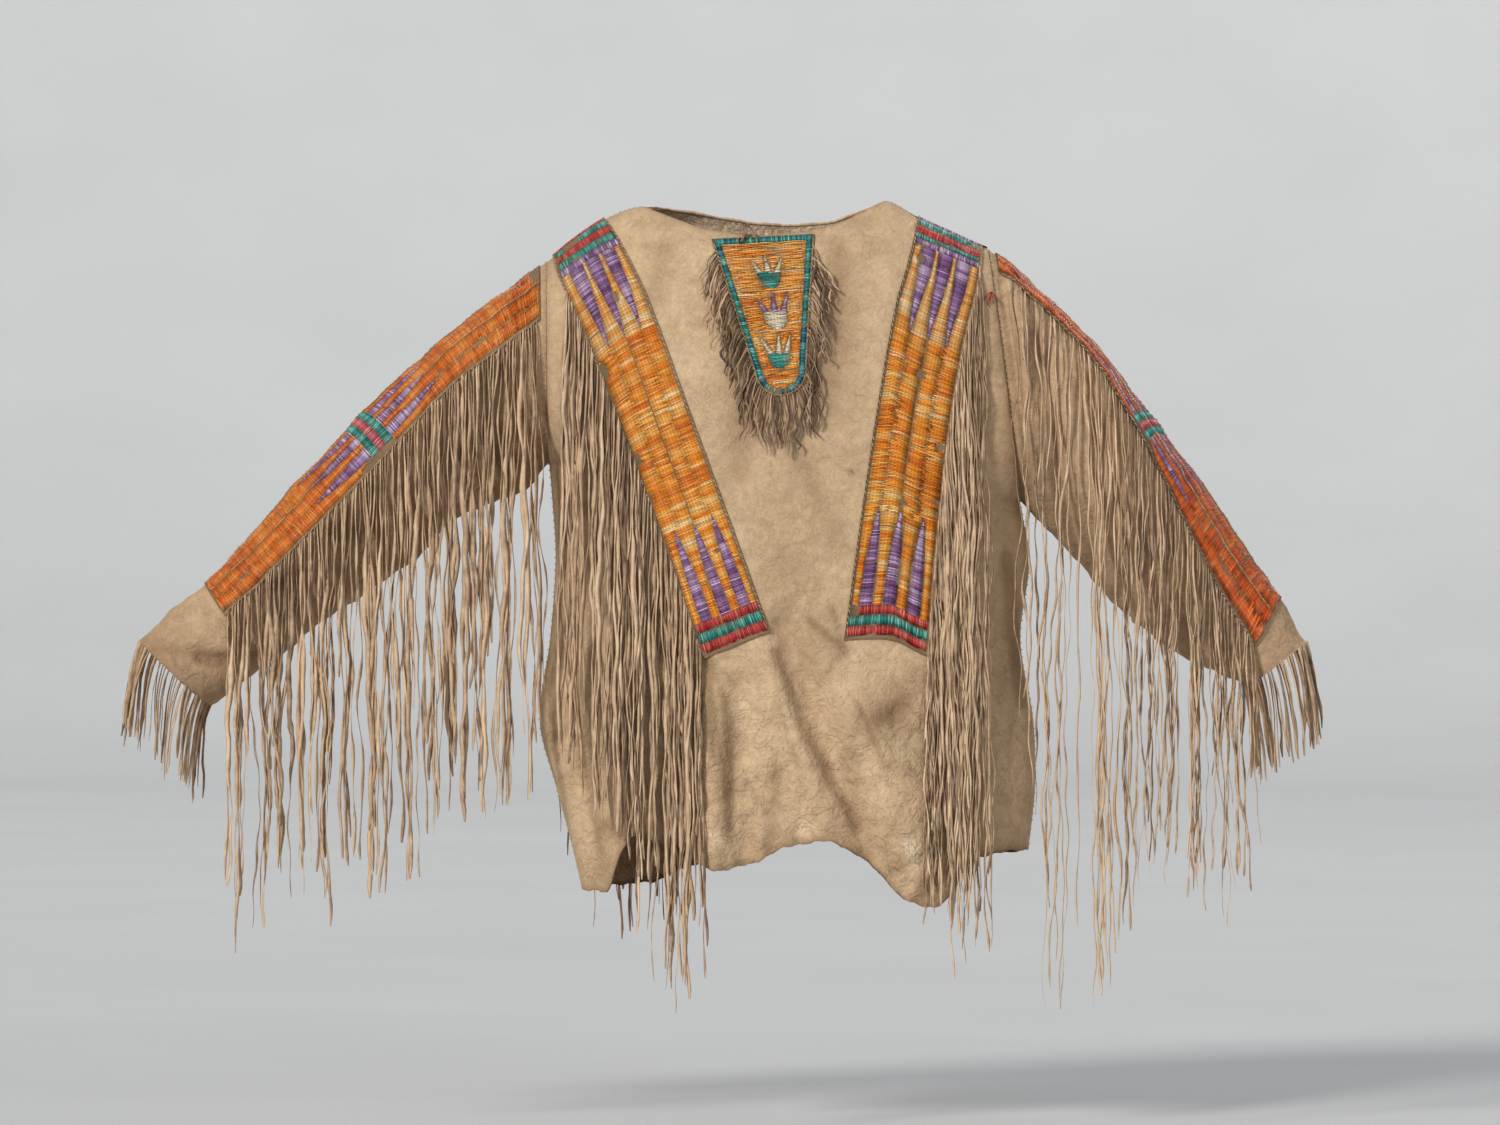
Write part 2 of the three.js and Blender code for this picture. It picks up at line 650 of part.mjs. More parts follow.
// The bib's outline: share runs down its left side, round its end and up its right side
function bibEdge(share, beyond = 0) {
  const axis = new THREE.Vector2(BIB.tipX - BIB.topX, BIB.tipZ - BIB.topZ);
  const length = axis.length();
  const down = axis.clone().divideScalar(length);
  const right = new THREE.Vector2(-down.y, down.x);
  const straight = length * BIB.straight;
  const endDeep = length - straight;
  const flank = 0.36; // share of the outline that each straight side takes
  let offset = new THREE.Vector2();
  if (share < flank || share > 1 - flank) {
    const run = share < flank ? share / flank : (1 - share) / flank;
    const side = share < flank ? -1 : 1;
    offset = new THREE.Vector2(run * straight, side * (mix(BIB.topHalf, BIB.endHalf, run) + beyond));
  } else {
    const turn = Math.PI * ((share - flank) / (1 - 2 * flank));
    const deep = straight + (endDeep + beyond) * Math.sin(turn);
    offset = new THREE.Vector2(deep, -(BIB.endHalf + beyond) * Math.cos(turn));
  }
  return {
    x: BIB.topX + down.x * offset.x + right.x * offset.y,
    z: BIB.topZ + down.y * offset.x + right.y * offset.y,
  };
}

const BIB_COLUMNS = 6;
const BIB_ROWS = 9;

function bib(name) {
  const layer = (out) => {
    const grid = [];
    for (let i = 0; i <= BIB_COLUMNS; i++) {
      const column = [];
      for (let j = 0; j <= BIB_ROWS; j++) {
        const share = (0.5 * j) / BIB_ROWS;
        const left = bibEdge(share * 0.97);
        const right = bibEdge(1 - share * 0.97);
        const x = mix(left.x, right.x, i / BIB_COLUMNS);
        const z = mix(left.z, right.z, i / BIB_COLUMNS);
        column.push(onHide(-1, x, z, out));
      }
      grid.push(column);
    }
    return grid;
  };
  return wall(name, layer(LIE + STRIP), layer(LIE), "quill");
}

// A fringe: a narrow band along an edge, cut into hanging thongs. roots lists, for each thong
// from the viewer's left to right, its two corners on the band's top and bottom lines and its
// path; each band corner has an outer and an inner point.
function fringe(name, roots, ring = false) {
  const points = [];
  const faces = [];
  const put = (p) => points.push(p) - 1;
  const corners = [];
  roots.forEach((root) => {
    for (const side of ["left", "right"]) {
      corners.push({
        topOut: put(root[side].topOut),
        topIn: put(root[side].topIn),
        lowOut: put(root[side].lowOut),
        lowIn: put(root[side].lowIn),
      });
    }
  });
  const cells = ring ? corners.length : corners.length - 1;
  for (let j = 0; j < cells; j++) {
    const a = corners[j];
    const b = corners[(j + 1) % corners.length];
    faces.push(...quad(a.topOut, a.lowOut, b.lowOut, b.topOut));
    faces.push(...quad(a.topIn, b.topIn, b.lowIn, a.lowIn));
    faces.push(...quad(a.topOut, b.topOut, b.topIn, a.topIn));
    if (j % 2 === 1) faces.push(...quad(b.lowOut, a.lowOut, a.lowIn, b.lowIn));
  }
  if (!ring) {
    const a = corners[0];
    const b = corners[corners.length - 1];
    faces.push(...quad(a.topOut, a.topIn, a.lowIn, a.lowOut));
    faces.push(...quad(b.topOut, b.lowOut, b.lowIn, b.topIn));
  }
  roots.forEach((root, k) => {
    const a = corners[2 * k];
    const b = corners[2 * k + 1];
    let above = [a.lowOut, b.lowOut, b.lowIn, a.lowIn];
    for (const section of root.path) {
      const below = section.map(put);
      faces.push(...quad(above[0], below[0], below[1], above[1]));
      faces.push(...quad(above[1], below[1], below[2], above[2]));
      faces.push(...quad(below[2], below[3], above[3], above[2]));
      faces.push(...quad(above[3], below[3], below[0], above[0]));
      above = below;
    }
    faces.push(...quad(above[0], above[3], above[2], above[1]));
  });
  return closedMesh(name, points, faces, "thong");
}

// The four corners of a hanging thong's section at a point, flat to the viewer
function thongSection(face, x, y, z, width) {
  const near = y + face * THONG;
  const half = width / 2;
  return [
    new THREE.Vector3(x - half, near, z),
    new THREE.Vector3(x + half, near, z),
    new THREE.Vector3(x + half, y, z),
    new THREE.Vector3(x - half, y, z),
  ];
}

// A thong's path: off its root, then down over whatever bulges out under it, and plumb below
function hangingPath({ face, root, endZ, width, lean, over, lift, bends }) {
  const startZ = root.z - FIRST_DROP;
  const needAt = (x, z) =>
    lift + Math.max(...[-0.6, 0, 0.6].map((share) => standsOut(over, face, x + share * width, z)));
  const placeAt = (share) => ({
    x: root.x + lean * (1 - Math.exp(-2.5 * share)),
    z: mix(startZ, endZ, share),
  });
  const line = [];
  for (let k = 0; k <= bends; k++) {
    const place = placeAt(Math.pow(k / bends, BEND_POWER));
    const before = line[k - 1] ?? { ...place, out: face * root.y };
    place.out = Math.max(before.out, needAt(place.x, place.z));
    const steps = k === 0 ? 4 : 18;
    for (let step = 0; step <= steps; step++) {
      const t = step / steps;
      const need = needAt(mix(before.x, place.x, t), mix(before.z, place.z, t));
      const short = Math.max(need - mix(before.out, place.out, t), 0);
      if (k === 0 || t > 0.5) place.out += short / Math.max(t, 0.5);
      else before.out += short / (1 - t);
    }
    line.push(place);
  }
  return line.map((place, k) =>
    thongSection(face, place.x, face * place.out, place.z, k === bends ? width * TIP : width),
  );
}

// The fringe along the outer edge of a shoulder strip, on the front (face -1) or the back
function stripFringe(name, table, face, ends, layer, lean, over) {
  const { count, shift, bandLift } = layer;
  const outward = Math.sign(table[0].outerX - table[0].innerX);
  const width = outward < 0 ? CHEST_FRINGE.leftWidth : CHEST_FRINGE.rightWidth;
  const roots = [];
  for (let k = 0; k < count; k++) {
    const down = outward < 0 ? (k + shift) / count : 1 - (k + 0.5 - shift / 2) / count;
    const middle = mix(CHEST_START, 1 - 2 * CHEST_FRINGE.root, clamp(down, 0, 1));
    const rootAt = (station, beyond, lift) => {
      const edge = stripEdge(table, station, 1);
      const x = edge.x + outward * beyond;
      return onHide(face, x, shoulderZ(edge.x) - edge.drop, lift);
    };
    const cornerAt = (station) => {
      const top = rootAt(station, 3 * SEAM, LIE + bandLift);
      const topOut = rootAt(station, 3 * SEAM, LIE + bandLift + THONG);
      const low = rootAt(station, SEAM + BAND, LIE + bandLift);
      const lowOut = rootAt(station, SEAM + BAND, LIE + bandLift + THONG);
      return { topOut, topIn: top, lowOut, lowIn: low };
    };
    const upper = cornerAt(middle - CHEST_FRINGE.root / 2);
    const lower = cornerAt(middle + CHEST_FRINGE.root / 2);
    const centre = rootAt(middle, SEAM + BAND + width * 0.7, LIE + bandLift);
    roots.push({
      left: outward < 0 ? upper : lower,
      right: outward < 0 ? lower : upper,
      path: hangingPath({
        face,
        root: centre,
        endZ: read(ends, "x", "z", centre.x) + CHEST_FRINGE.ragged * (chance(k, shift + 5) - 0.35),
        width,
        lean: lean * (1 - middle) * outward,
        over,
        lift: CLEAR,
        bends: CHEST_FRINGE.bends,
      }),
    });
  }
  return fringe(name, roots);
}

// The fringe along the lower edge of a sleeve's strip
function sleeveFringe(name, table, strip, count, ends, over) {
  const first = strip[0].section + 0.12;
  const last = strip[strip.length - 1].section;
  const gap = radians(0.5);
  const bandTurn = (section) => BAND / sleevePoint(table, section, 0).y;
  const outward = Math.sign(table[0].topX);
  const roots = [];
  for (let k = 0; k < count; k++) {
    const share = outward < 0 ? 1 - (k + 0.5) / count : (k + 0.5) / count;
    const section = mix(first, last, share);
    const sectionWidth = Math.abs(
      sleevePoint(table, section + 0.05, 0.4).x - sleevePoint(table, section - 0.05, 0.4).x,
    );
    const half = ((SLEEVE_FRINGE.width / sectionWidth) * 0.1) / 2;
    const cornerAt = (at) => {
      const edge = radians(read(strip, "section", "lower", at)) - gap;
      const under = edge + bandTurn(at);
      return {
        topOut: sleevePoint(table, at, edge, LIE + THONG),
        topIn: sleevePoint(table, at, edge, LIE),
        lowOut: sleevePoint(table, at, under, LIE + THONG),
        lowIn: sleevePoint(table, at, under, LIE),
      };
    };
    const centre = cornerAt(section).lowIn;
    roots.push({
      left: cornerAt(section + outward * -half),
      right: cornerAt(section + outward * half),
      path: hangingPath({
        face: -1,
        root: centre,
        endZ: read(ends, "x", "z", centre.x) + SLEEVE_FRINGE.ragged * (chance(k, 2) - 0.4),
        width: SLEEVE_FRINGE.width,
        lean: SLEEVE_FRINGE.lean * (chance(k, 3) - 0.5),
        over,
        lift: CLEAR,
        bends: SLEEVE_FRINGE.bends,
      }),
    });
  }
  return fringe(name, roots);
}

// The cuff's fringe is cut from the sleeve's own end, all round it
function cuffFringe(name, table) {
  const { count, root, shortest, longest, flare } = CUFF_FRINGE;
  const last = table.length - 1;
  const end = table[last];
  const before = table[last - 1];
  const along = new THREE.Vector3(
    end.topX + end.lowX - before.topX - before.lowX,
    0,
    end.topZ + end.lowZ - before.topZ - before.lowZ,
  ).normalize();
  const roots = [];
  const outward = Math.sign(end.topX);
  for (let k = 0; k < count; k++) {
    const turn = (2 * Math.PI) / count;
    const angle = outward * turn * (k + 0.5);
    const half = (outward * turn * root) / 2;
    const cornerAt = (at) => {
      const outer = sleevePoint(table, last, at);
      const inner = sleevePoint(table, last, at, -THONG);
      return {
        topOut: outer.clone().addScaledVector(along, SEAM),
        topIn: inner.clone().addScaledVector(along, SEAM),
        lowOut: outer.clone().addScaledVector(along, SEAM + BAND),
        lowIn: inner.clone().addScaledVector(along, SEAM + BAND),
      };
    };
    const left = cornerAt(angle - half);
    const right = cornerAt(angle + half);
    const length = mix(shortest, longest, chance(k, 7));
    const path = [0.1, 0.5, 1].map((share) => {
      const move = new THREE.Vector3(outward * flare * share, 0, -length * share);
      move.addScaledVector(along, flare * (1 - share));
      return [left.lowOut, right.lowOut, right.lowIn, left.lowIn].map((p) => p.clone().add(move));
    });
    roots.push({ left, right, path });
  }
  return fringe(name, roots, true);
}

// The bib's fringe of short locks, which lie one over the next round its edge
function bibFringe(name, over) {
  const { width, root: rootShare, count, side, end, ragged, lean, layers, layerLift } = BIB_FRINGE;
  const roots = [];
  for (let k = 0; k < count; k++) {
    const share = mix(0.05, 0.95, (k + 0.5) / count);
    const cornerAt = (at) => {
      const near = bibEdge(at, SEAM + 0.4);
      const far = bibEdge(at, SEAM + BAND);
      return {
        topOut: onHide(-1, near.x, near.z, LIE + THONG),
        topIn: onHide(-1, near.x, near.z, LIE),
        lowOut: onHide(-1, far.x, far.z, LIE + THONG),
        lowIn: onHide(-1, far.x, far.z, LIE),
      };
    };
    const spot = bibEdge(share, SEAM + BAND + 3);
    const root = onHide(-1, spot.x, spot.z, LIE + 0.6);
    const flank = Math.abs(share - 0.5) / 0.5;
    roots.push({
      left: cornerAt(share - rootShare / 2),
      right: cornerAt(share + rootShare / 2),
      path: hangingPath({
        face: -1,
        root,
        endZ: root.z - mix(end, side, flank) - ragged * chance(k, 4),
        width,
        lean: (share - 0.5) * lean,
        over,
        lift: CLEAR + layerLift * (k % layers),
        bends: 2,
      }),
    });
  }
  return fringe(name, roots);
}

const shirt = new THREE.Group();
shirt.add(front, back, leftSleeve, rightSleeve);
shirt.add(seated(shoulderStrip("left_shoulder_strip", LEFT_STRIP), bodyRoom));
shirt.add(seated(shoulderStrip("right_shoulder_strip", RIGHT_STRIP), bodyRoom));
shirt.add(sleeveStrip("left_sleeve_strip", LEFT_SLEEVE, LEFT_SLEEVE_STRIP));
shirt.add(sleeveStrip("right_sleeve_strip", RIGHT_SLEEVE, RIGHT_SLEEVE_STRIP));
shirt.add(seated(bib("bib"), bodyRoom));
const leftOver = [front];
const rightOver = [front];
const { leftLean, rightLean } = CHEST_FRINGE;
for (const layer of CHEST_LAYERS) {
  const left = `left_chest_fringe_${layer.name}`;
  const right = `right_chest_fringe_${layer.name}`;
  leftOver.push(stripFringe(left, LEFT_STRIP, -1, LEFT_CHEST_ENDS, layer, leftLean, [...leftOver]));
  rightOver.push(stripFringe(right, RIGHT_STRIP, -1, RIGHT_CHEST_ENDS, layer, rightLean, [...rightOver]));
}
shirt.add(...leftOver, ...rightOver);
shirt.add(stripFringe("left_back_fringe", LEFT_STRIP, 1, BACK_ENDS, BACK_LAYER, leftLean, [back]));
shirt.add(stripFringe("right_back_fringe", RIGHT_STRIP, 1, BACK_ENDS, BACK_LAYER, rightLean, [back]));
const { leftCount, rightCount } = SLEEVE_FRINGE;
for (const [name, table, strip, count, ends, own] of [
  ["left_sleeve_fringe", LEFT_SLEEVE, LEFT_SLEEVE_STRIP, leftCount, LEFT_SLEEVE_ENDS, leftSleeve],
  ["right_sleeve_fringe", RIGHT_SLEEVE, RIGHT_SLEEVE_STRIP, rightCount, RIGHT_SLEEVE_ENDS, rightSleeve],
]) {
  shirt.add(sleeveFringe(name, table, strip, count, ends, [own, front]));
}
shirt.add(cuffFringe("left_cuff_fringe", LEFT_SLEEVE));
shirt.add(cuffFringe("right_cuff_fringe", RIGHT_SLEEVE));
shirt.add(bibFringe("bib_fringe", [front]));

export default shirt;
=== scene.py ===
import math

import bpy
import numpy as np
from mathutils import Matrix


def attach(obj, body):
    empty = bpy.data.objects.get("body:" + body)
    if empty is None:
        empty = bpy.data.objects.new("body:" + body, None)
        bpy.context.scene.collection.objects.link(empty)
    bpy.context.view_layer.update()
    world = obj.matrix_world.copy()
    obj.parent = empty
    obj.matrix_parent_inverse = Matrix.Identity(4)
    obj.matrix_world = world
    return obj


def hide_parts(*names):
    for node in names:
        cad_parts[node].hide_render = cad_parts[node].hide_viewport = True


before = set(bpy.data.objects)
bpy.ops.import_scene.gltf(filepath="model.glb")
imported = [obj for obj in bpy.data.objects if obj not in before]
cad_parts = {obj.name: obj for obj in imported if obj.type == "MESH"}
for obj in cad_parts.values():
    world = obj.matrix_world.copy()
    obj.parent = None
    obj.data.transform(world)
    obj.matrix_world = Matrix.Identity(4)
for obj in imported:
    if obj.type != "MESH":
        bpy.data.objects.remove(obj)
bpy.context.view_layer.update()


# The studio: a long lens head on, as in the photograph, over a plain pale floor that turns up far
# behind the shirt. A soft key light comes from the upper left, with weaker fills from the right and
# from below the lens, and a rim light from behind.
CAMERA_AWAY = 9.0
FRAME_WIDE = 1.875  # metres across the frame at the shirt
LOOK_AT = (-0.015, 0.0, -0.447)
FLOOR_LEVEL = -1.16
FLOOR_FLAT = 14.0
FLOOR_EDGE = 24.0
FLOOR_TURN_UP = 9.0
FLOOR_HUB = 0.0001  # a hole too small to see closes the floor's middle
FLOOR_TONES = ((0.47, 0.475, 0.48, 1), (0.53, 0.535, 0.54, 1))

lens = bpy.data.cameras.new("lens")
lens.sensor_width = 36.0
lens.lens = lens.sensor_width * CAMERA_AWAY / FRAME_WIDE
lens.clip_end = 100.0
camera = bpy.data.objects.new("camera", lens)
camera.location = (LOOK_AT[0], -CAMERA_AWAY, LOOK_AT[2])
camera.rotation_euler = (math.pi / 2, 0.0, 0.0)
bpy.context.collection.objects.link(camera)
bpy.context.scene.camera = camera
bpy.context.scene.view_settings.view_transform = "Standard"


def add_mesh(name, points, faces):
    """A smooth mesh object from points in metres and faces of point numbers"""
    mesh = bpy.data.meshes.new(name)
    mesh.from_pydata(np.asarray(points).tolist(), [], np.asarray(faces).tolist())
    mesh.polygons.foreach_set("use_smooth", [True] * len(mesh.polygons))
    made = bpy.data.objects.new(name, mesh)
    bpy.context.collection.objects.link(made)
    return made


def grid_faces(ids):
    """Quads between neighbours in a grid of point numbers"""
    corners = (ids[:-1, :-1], ids[:-1, 1:], ids[1:, 1:], ids[1:, :-1])
    return np.stack(corners, -1).reshape(-1, 4)


def node_maker(tree, family="ShaderNode"):
    """What adds a node to a tree, and what fits out one that is there. Properties have small first
    letters. Inputs, in order or by name, take a value, a socket or a node for its first output"""

    def feed(socket, value):
        if isinstance(value, bpy.types.Node):
            value = next(out for out in value.outputs if out.enabled)
        if isinstance(value, bpy.types.NodeSocket):
            tree.links.new(value, socket)
        else:
            socket.default_value = value

    def give(node, *inputs, **settings):
        for key, value in sorted(settings.items(), key=lambda pair: pair[0][0].isupper()):
            if key[0].isupper():
                feed(node.inputs[key.replace("_", " ")], value)
            else:
                setattr(node, key, value)
        for socket, value in zip(node.inputs, inputs):
            feed(socket, value)
        return node

    def add(kind, *inputs, **settings):
        return give(tree.nodes.new(family + kind), *inputs, **settings)

    return add, give


def new_finish(name):
    """A material, what adds its nodes, what fits out its shader, and the place on the object"""
    made = bpy.data.materials.new(name)
    made.use_nodes = True
    add, give = node_maker(made.node_tree)
    shader = made.node_tree.nodes["Principled BSDF"]
    return made, add, lambda **inputs: give(shader, **inputs), add("TexCoord").outputs["Object"]


def straight(colour):
    """A colour given as 0 to 255 on screen, in the renderer's linear light"""
    c = np.array(colour, float) / 255
    return np.where(c <= 0.04045, c / 12.92, ((c + 0.055) / 1.055) ** 2.4)


around = np.linspace(0, 2 * math.pi, 97)[:-1]
away = np.concatenate([
    [FLOOR_HUB], np.linspace(2, FLOOR_FLAT, 8), np.linspace(FLOOR_FLAT, FLOOR_EDGE, 30)[1:],
])
rise = FLOOR_LEVEL + FLOOR_TURN_UP * np.clip((away - FLOOR_FLAT) / (FLOOR_EDGE - FLOOR_FLAT), 0, 1) ** 2
rings = np.stack([
    away[None] * np.cos(around)[:, None],
    away[None] * np.sin(around)[:, None],
    np.broadcast_to(rise, (len(around), len(away))),
], -1)
ring_ids = np.arange(rings[..., 0].size).reshape(rings.shape[:2])
floor = add_mesh("floor", rings.reshape(-1, 3), grid_faces(np.vstack([ring_ids, ring_ids[:1]])))
floor_paint, add, shade, where = new_finish("pale studio floor")
grain = add("TexNoise", Vector=where, Scale=1.4, Detail=4.0)
tone = add("Mix", data_type="RGBA", Factor=grain, A=FLOOR_TONES[0], B=FLOOR_TONES[1])
shade(Base_Color=tone, Roughness=0.85)
floor.data.materials.append(floor_paint)

world = bpy.data.worlds.new("studio")
world.use_nodes = True
world.node_tree.nodes["Background"].inputs["Color"].default_value = (0.93, 0.96, 1.0, 1)
world.node_tree.nodes["Background"].inputs["Strength"].default_value = 0.42
bpy.context.scene.world = world

LIGHTS = [  # name, way that it shines, how soft in degrees, strength, colour
    ("key", (0.56, 0.78, -0.52), 12, 2.5, (1.0, 0.975, 0.94)),
    ("fill", (-0.52, 0.82, -0.22), 40, 1.05, (0.96, 0.98, 1.0)),
    ("low fill", (0.1, 0.95, 0.30), 50, 0.45, (1.0, 0.98, 0.96)),
    ("rim", (-0.30, -0.72, -0.62), 30, 0.9, (1.0, 0.99, 0.97)),
]
for name, way, soft, strength, colour in LIGHTS:
    lamp = bpy.data.lights.new(name, "SUN")
    lamp.angle = math.radians(soft)
    lamp.energy = strength
    lamp.color = colour
    holder = bpy.data.objects.new(name, lamp)
    flat = math.hypot(way[0], way[1])
    holder.rotation_euler = (math.atan2(flat, -way[2]), 0.0, math.atan2(way[1], way[0]) - math.pi / 2)
    bpy.context.collection.objects.link(holder)


# The front and back hides: two brain-tanned deer or sheep skins of about 2 mm, smoked to a tan,
# sewn along the shoulders and the sides. Each hem keeps the animal's own outline, and the hide
# hangs in soft folds with fine creases where it has been folded away and handled.
HIDE = 2.0
SEAM = 0.3
SHOULDER_ROLL = 150.0
SIDE_POWER = 2.4
ROLL_POWER = 2.2
HEM_LEVEL = -800.0
# How far the back's neck edge leans back from the roll of the shoulders, over what height, and from
# what depth of neck it does so in full
NECK_UPRIGHT = 8.0
NECK_BAND = 26.0
NECK_DEEP = 14.0


def table(columns, rows):
    """Rows of numbers under named columns"""
    return dict(zip(columns.split(), np.array(rows, float).T))


ARMHOLE = {
    "left": {"topX": -268, "topZ": -71, "lowX": -266, "lowZ": -322, "depth": 72},
    "right": {"topX": 282, "topZ": -56, "lowX": 322, "lowZ": -369, "depth": 80},
}
SHOULDER = table("x z", [
    (-268, -71), (-234, -43), (-196, -18), (-150, -2), (0, 3), (154, 5), (194, -16), (236, -35), (282, -56),
])
NECK = table("x front back", [
    (-150, 0, 0), (-110, 20, 6), (-72, 35, 13), (-26, 42, 21), (30, 43, 27), (89, 33, 25), (131, 13, 10),
    (154, 0, 0),
])
SIDES = table("z left right", [
    (-322, -266, 318), (-369, -262, 322), (-444, -258, 334), (-544, -265, 323), (-644, -278, 339),
    (-731, -256, 341), (-806, -236, 333), (-860, -224, 330),
])
DEPTH = table("z front back", [
    (10, 90, 80), (-150, 104, 92), (-300, 108, 96), (-450, 102, 92), (-600, 98, 90), (-750, 102, 94),
    (-870, 108, 98),
])
FRONT_HEM = table("x z", [
    (-224, -854), (-202, -855), (-184, -818), (-160, -788), (-128, -794), (-78, -822), (-38, -826),
    (35, -798), (72, -792), (110, -802), (141, -829), (172, -860), (206, -874), (234, -858), (262, -816),
    (335, -804),
])
BACK_HEM = table("x z", [
    (-224, -850), (-152, -850), (-78, -824), (0, -804), (72, -784), (160, -800), (247, -818), (335, -806),
])
# The folds are listed one by one: a line, how far they reach to each side of it and how high they are
FOLD_COLUMNS = "fromX fromZ toX toZ reach lift"
FRONT_FOLDS = table(FOLD_COLUMNS, [
    (26, -530, 138, -812, 17, -15), (2, -560, 92, -800, 20, 8), (-28, -600, -22, -830, 15, -9),
    (-60, -620, -58, -830, 17, 9), (132, -645, 214, -850, 42, 20), (-190, -640, -150, -800, 26, 14),
    (-222, -700, -200, -850, 15, -9), (60, -180, 118, -60, 22, 5), (-96, -560, -110, -800, 16, -8),
])
BACK_FOLDS = table(FOLD_COLUMNS, [
    (-20, -620, -70, -840, 30, 12), (40, -300, 44, -790, 30, -9), (110, -640, 130, -800, 32, 12),
    (-180, -520, -200, -840, 28, -9),
])
# Fine creases that only the hide's own surface has: the cuts and curls in the photograph, and like
# ones on the back
FRONT_CREASES = table(FOLD_COLUMNS, [
    (-72, -565, -108, -640, 4, -2.6), (-72, -565, -86, -668, 4, -2.4), (-70, -566, -60, -690, 5, -3.2),
    (-66, -566, -24, -672, 5, -2.6), (-74, -568, -132, -612, 4, -2.0), (20, -560, 52, -650, 7, -4.5),
    (52, -650, 118, -775, 8, -4.5), (160, -826, 200, -814, 6, -6.5), (200, -814, 218, -800, 6, -4.0),
    (102, -556, 60, -520, 6, -3.6), (104, -560, 88, -505, 5, -2.6), (96, -566, 70, -600, 5, -2.2),
    (-40, -650, -38, -790, 7, -4.0), (-26, -700, -30, -812, 5, 2.6), (-232, -630, -200, -804, 6, -4.2),
    (-194, -772, -157, -789, 8, -5.5), (-262, -668, -216, -640, 6, -3.2), (-258, -720, -226, -700, 5, -2.2),
    (-8, -70, -28, -330, 22, -3.0), (40, -300, 96, -420, 16, -2.4), (96, -60, 74, -250, 18, -2.6),
    (-146, -150, -120, -60, 14, -2.2), (148, -640, 200, -600, 12, -3.0), (176, -560, 212, -640, 14, 2.6),
    (160, -700, 212, -720, 10, -2.2), (60, -820, 96, -720, 9, 2.6), (6, -800, 22, -700, 8, -2.4),
    (196, -860, 214, -780, 8, -3.2), (304, -440, 322, -620, 9, -5.5), (290, -560, 300, -700, 12, 4.0),
    (-64, -572, -96, -700, 3, -2.0), (-66, -572, -44, -740, 3, -2.2), (-60, -568, 4, -640, 3, -1.8),
    (-100, -640, -128, -730, 4, 2.0), (-30, -690, 4, -760, 3, -1.6), (118, -620, 150, -690, 4, -2.2),
    (150, -650, 196, -700, 4, 2.2), (84, -700, 60, -780, 4, -2.0), (180, -740, 150, -800, 4, -2.4),
    (-180, -560, -196, -700, 6, -3.0), (-226, -480, -236, -640, 7, -3.4), (-120, -760, -90, -816, 4, -2.0),
    (220, -620, 236, -760, 6, -3.0), (130, -790, 186, -776, 4, 2.4), (20, -620, 44, -700, 3, -1.8),
    (-14, -760, 20, -740, 3, -1.5), (200, -690, 226, -660, 4, -2.0),
])
BACK_CREASES = table(FOLD_COLUMNS, [
    (-60, -120, -90, -420, 20, -3.0), (80, -140, 110, -430, 20, -3.0), (10, -420, -20, -640, 12, -3.4),
    (-120, -560, -80, -700, 8, -3.0), (150, -600, 96, -760, 8, -3.4), (-30, -700, 30, -780, 7, -3.0),
    (200, -480, 230, -700, 12, -3.0), (-200, -620, -160, -780, 8, -3.2), (30, -60, 26, -300, 16, 2.6),
])


def read(rows, key, column, at):
    """A smooth curve through a table's rows, level beyond the first and last"""
    order = np.argsort(rows[key])
    k, v = rows[key][order], rows[column][order]
    slope = np.zeros_like(v)
    slope[1:-1] = (v[2:] - v[:-2]) / (k[2:] - k[:-2])
    slope[0] = (v[1] - v[0]) / (k[1] - k[0])
    slope[-1] = (v[-1] - v[-2]) / (k[-1] - k[-2])
    at = np.clip(at, k[0], k[-1])
    i = np.clip(np.searchsorted(k, at, side="right") - 1, 0, len(k) - 2)
    span = k[i + 1] - k[i]
    t = (at - k[i]) / span
    up = t * t * (3 - 2 * t)
    bend = t * (1 - t) ** 2 * slope[i] - t * t * (1 - t) * slope[i + 1]
    return v[i] * (1 - up) + v[i + 1] * up + span * bend


def shoulder_z(x):
    """The height of the shoulder line"""
    return read(SHOULDER, "x", "z", x)


def armhole_x(side, z):
    """Where the armhole's straight seam is at a height"""
    hole = ARMHOLE[side]
    share = (z - hole["lowZ"]) / (hole["topZ"] - hole["lowZ"])
    return hole["lowX"] + (hole["topX"] - hole["lowX"]) * share


def side_x(side, z):
    """Where the body ends to one side: at its armhole, or at its side seam below that"""
    return np.where(z >= ARMHOLE[side]["lowZ"], armhole_x(side, z), read(SIDES, "z", side, z))


def edge_depth(side, z):
    """How deep half the armhole is at a height"""
    hole = ARMHOLE[side]
    share = (2 * z - hole["topZ"] - hole["lowZ"]) / (hole["topZ"] - hole["lowZ"])
    return hole["depth"] * np.sqrt(np.clip(1 - share**2, 0, 1))


def fold_lift(folds, x, z):
    """Soft ridges and troughs along straight lines, summed"""
    lift = np.zeros(np.broadcast(x, z).shape)
    for x0, z0, x1, z1, reach, high in zip(*folds.values()):
        length = math.hypot(x1 - x0, z1 - z0)
        along = ((x - x0) * (x1 - x0) + (z - z0) * (z1 - z0)) / length
        aside = ((x - x0) * (z1 - z0) - (z - z0) * (x1 - x0)) / length
        past = np.maximum(np.maximum(-along, along - length), 0)
        lift += high * np.exp(-(aside**2 + past**2) / reach**2)
    return lift


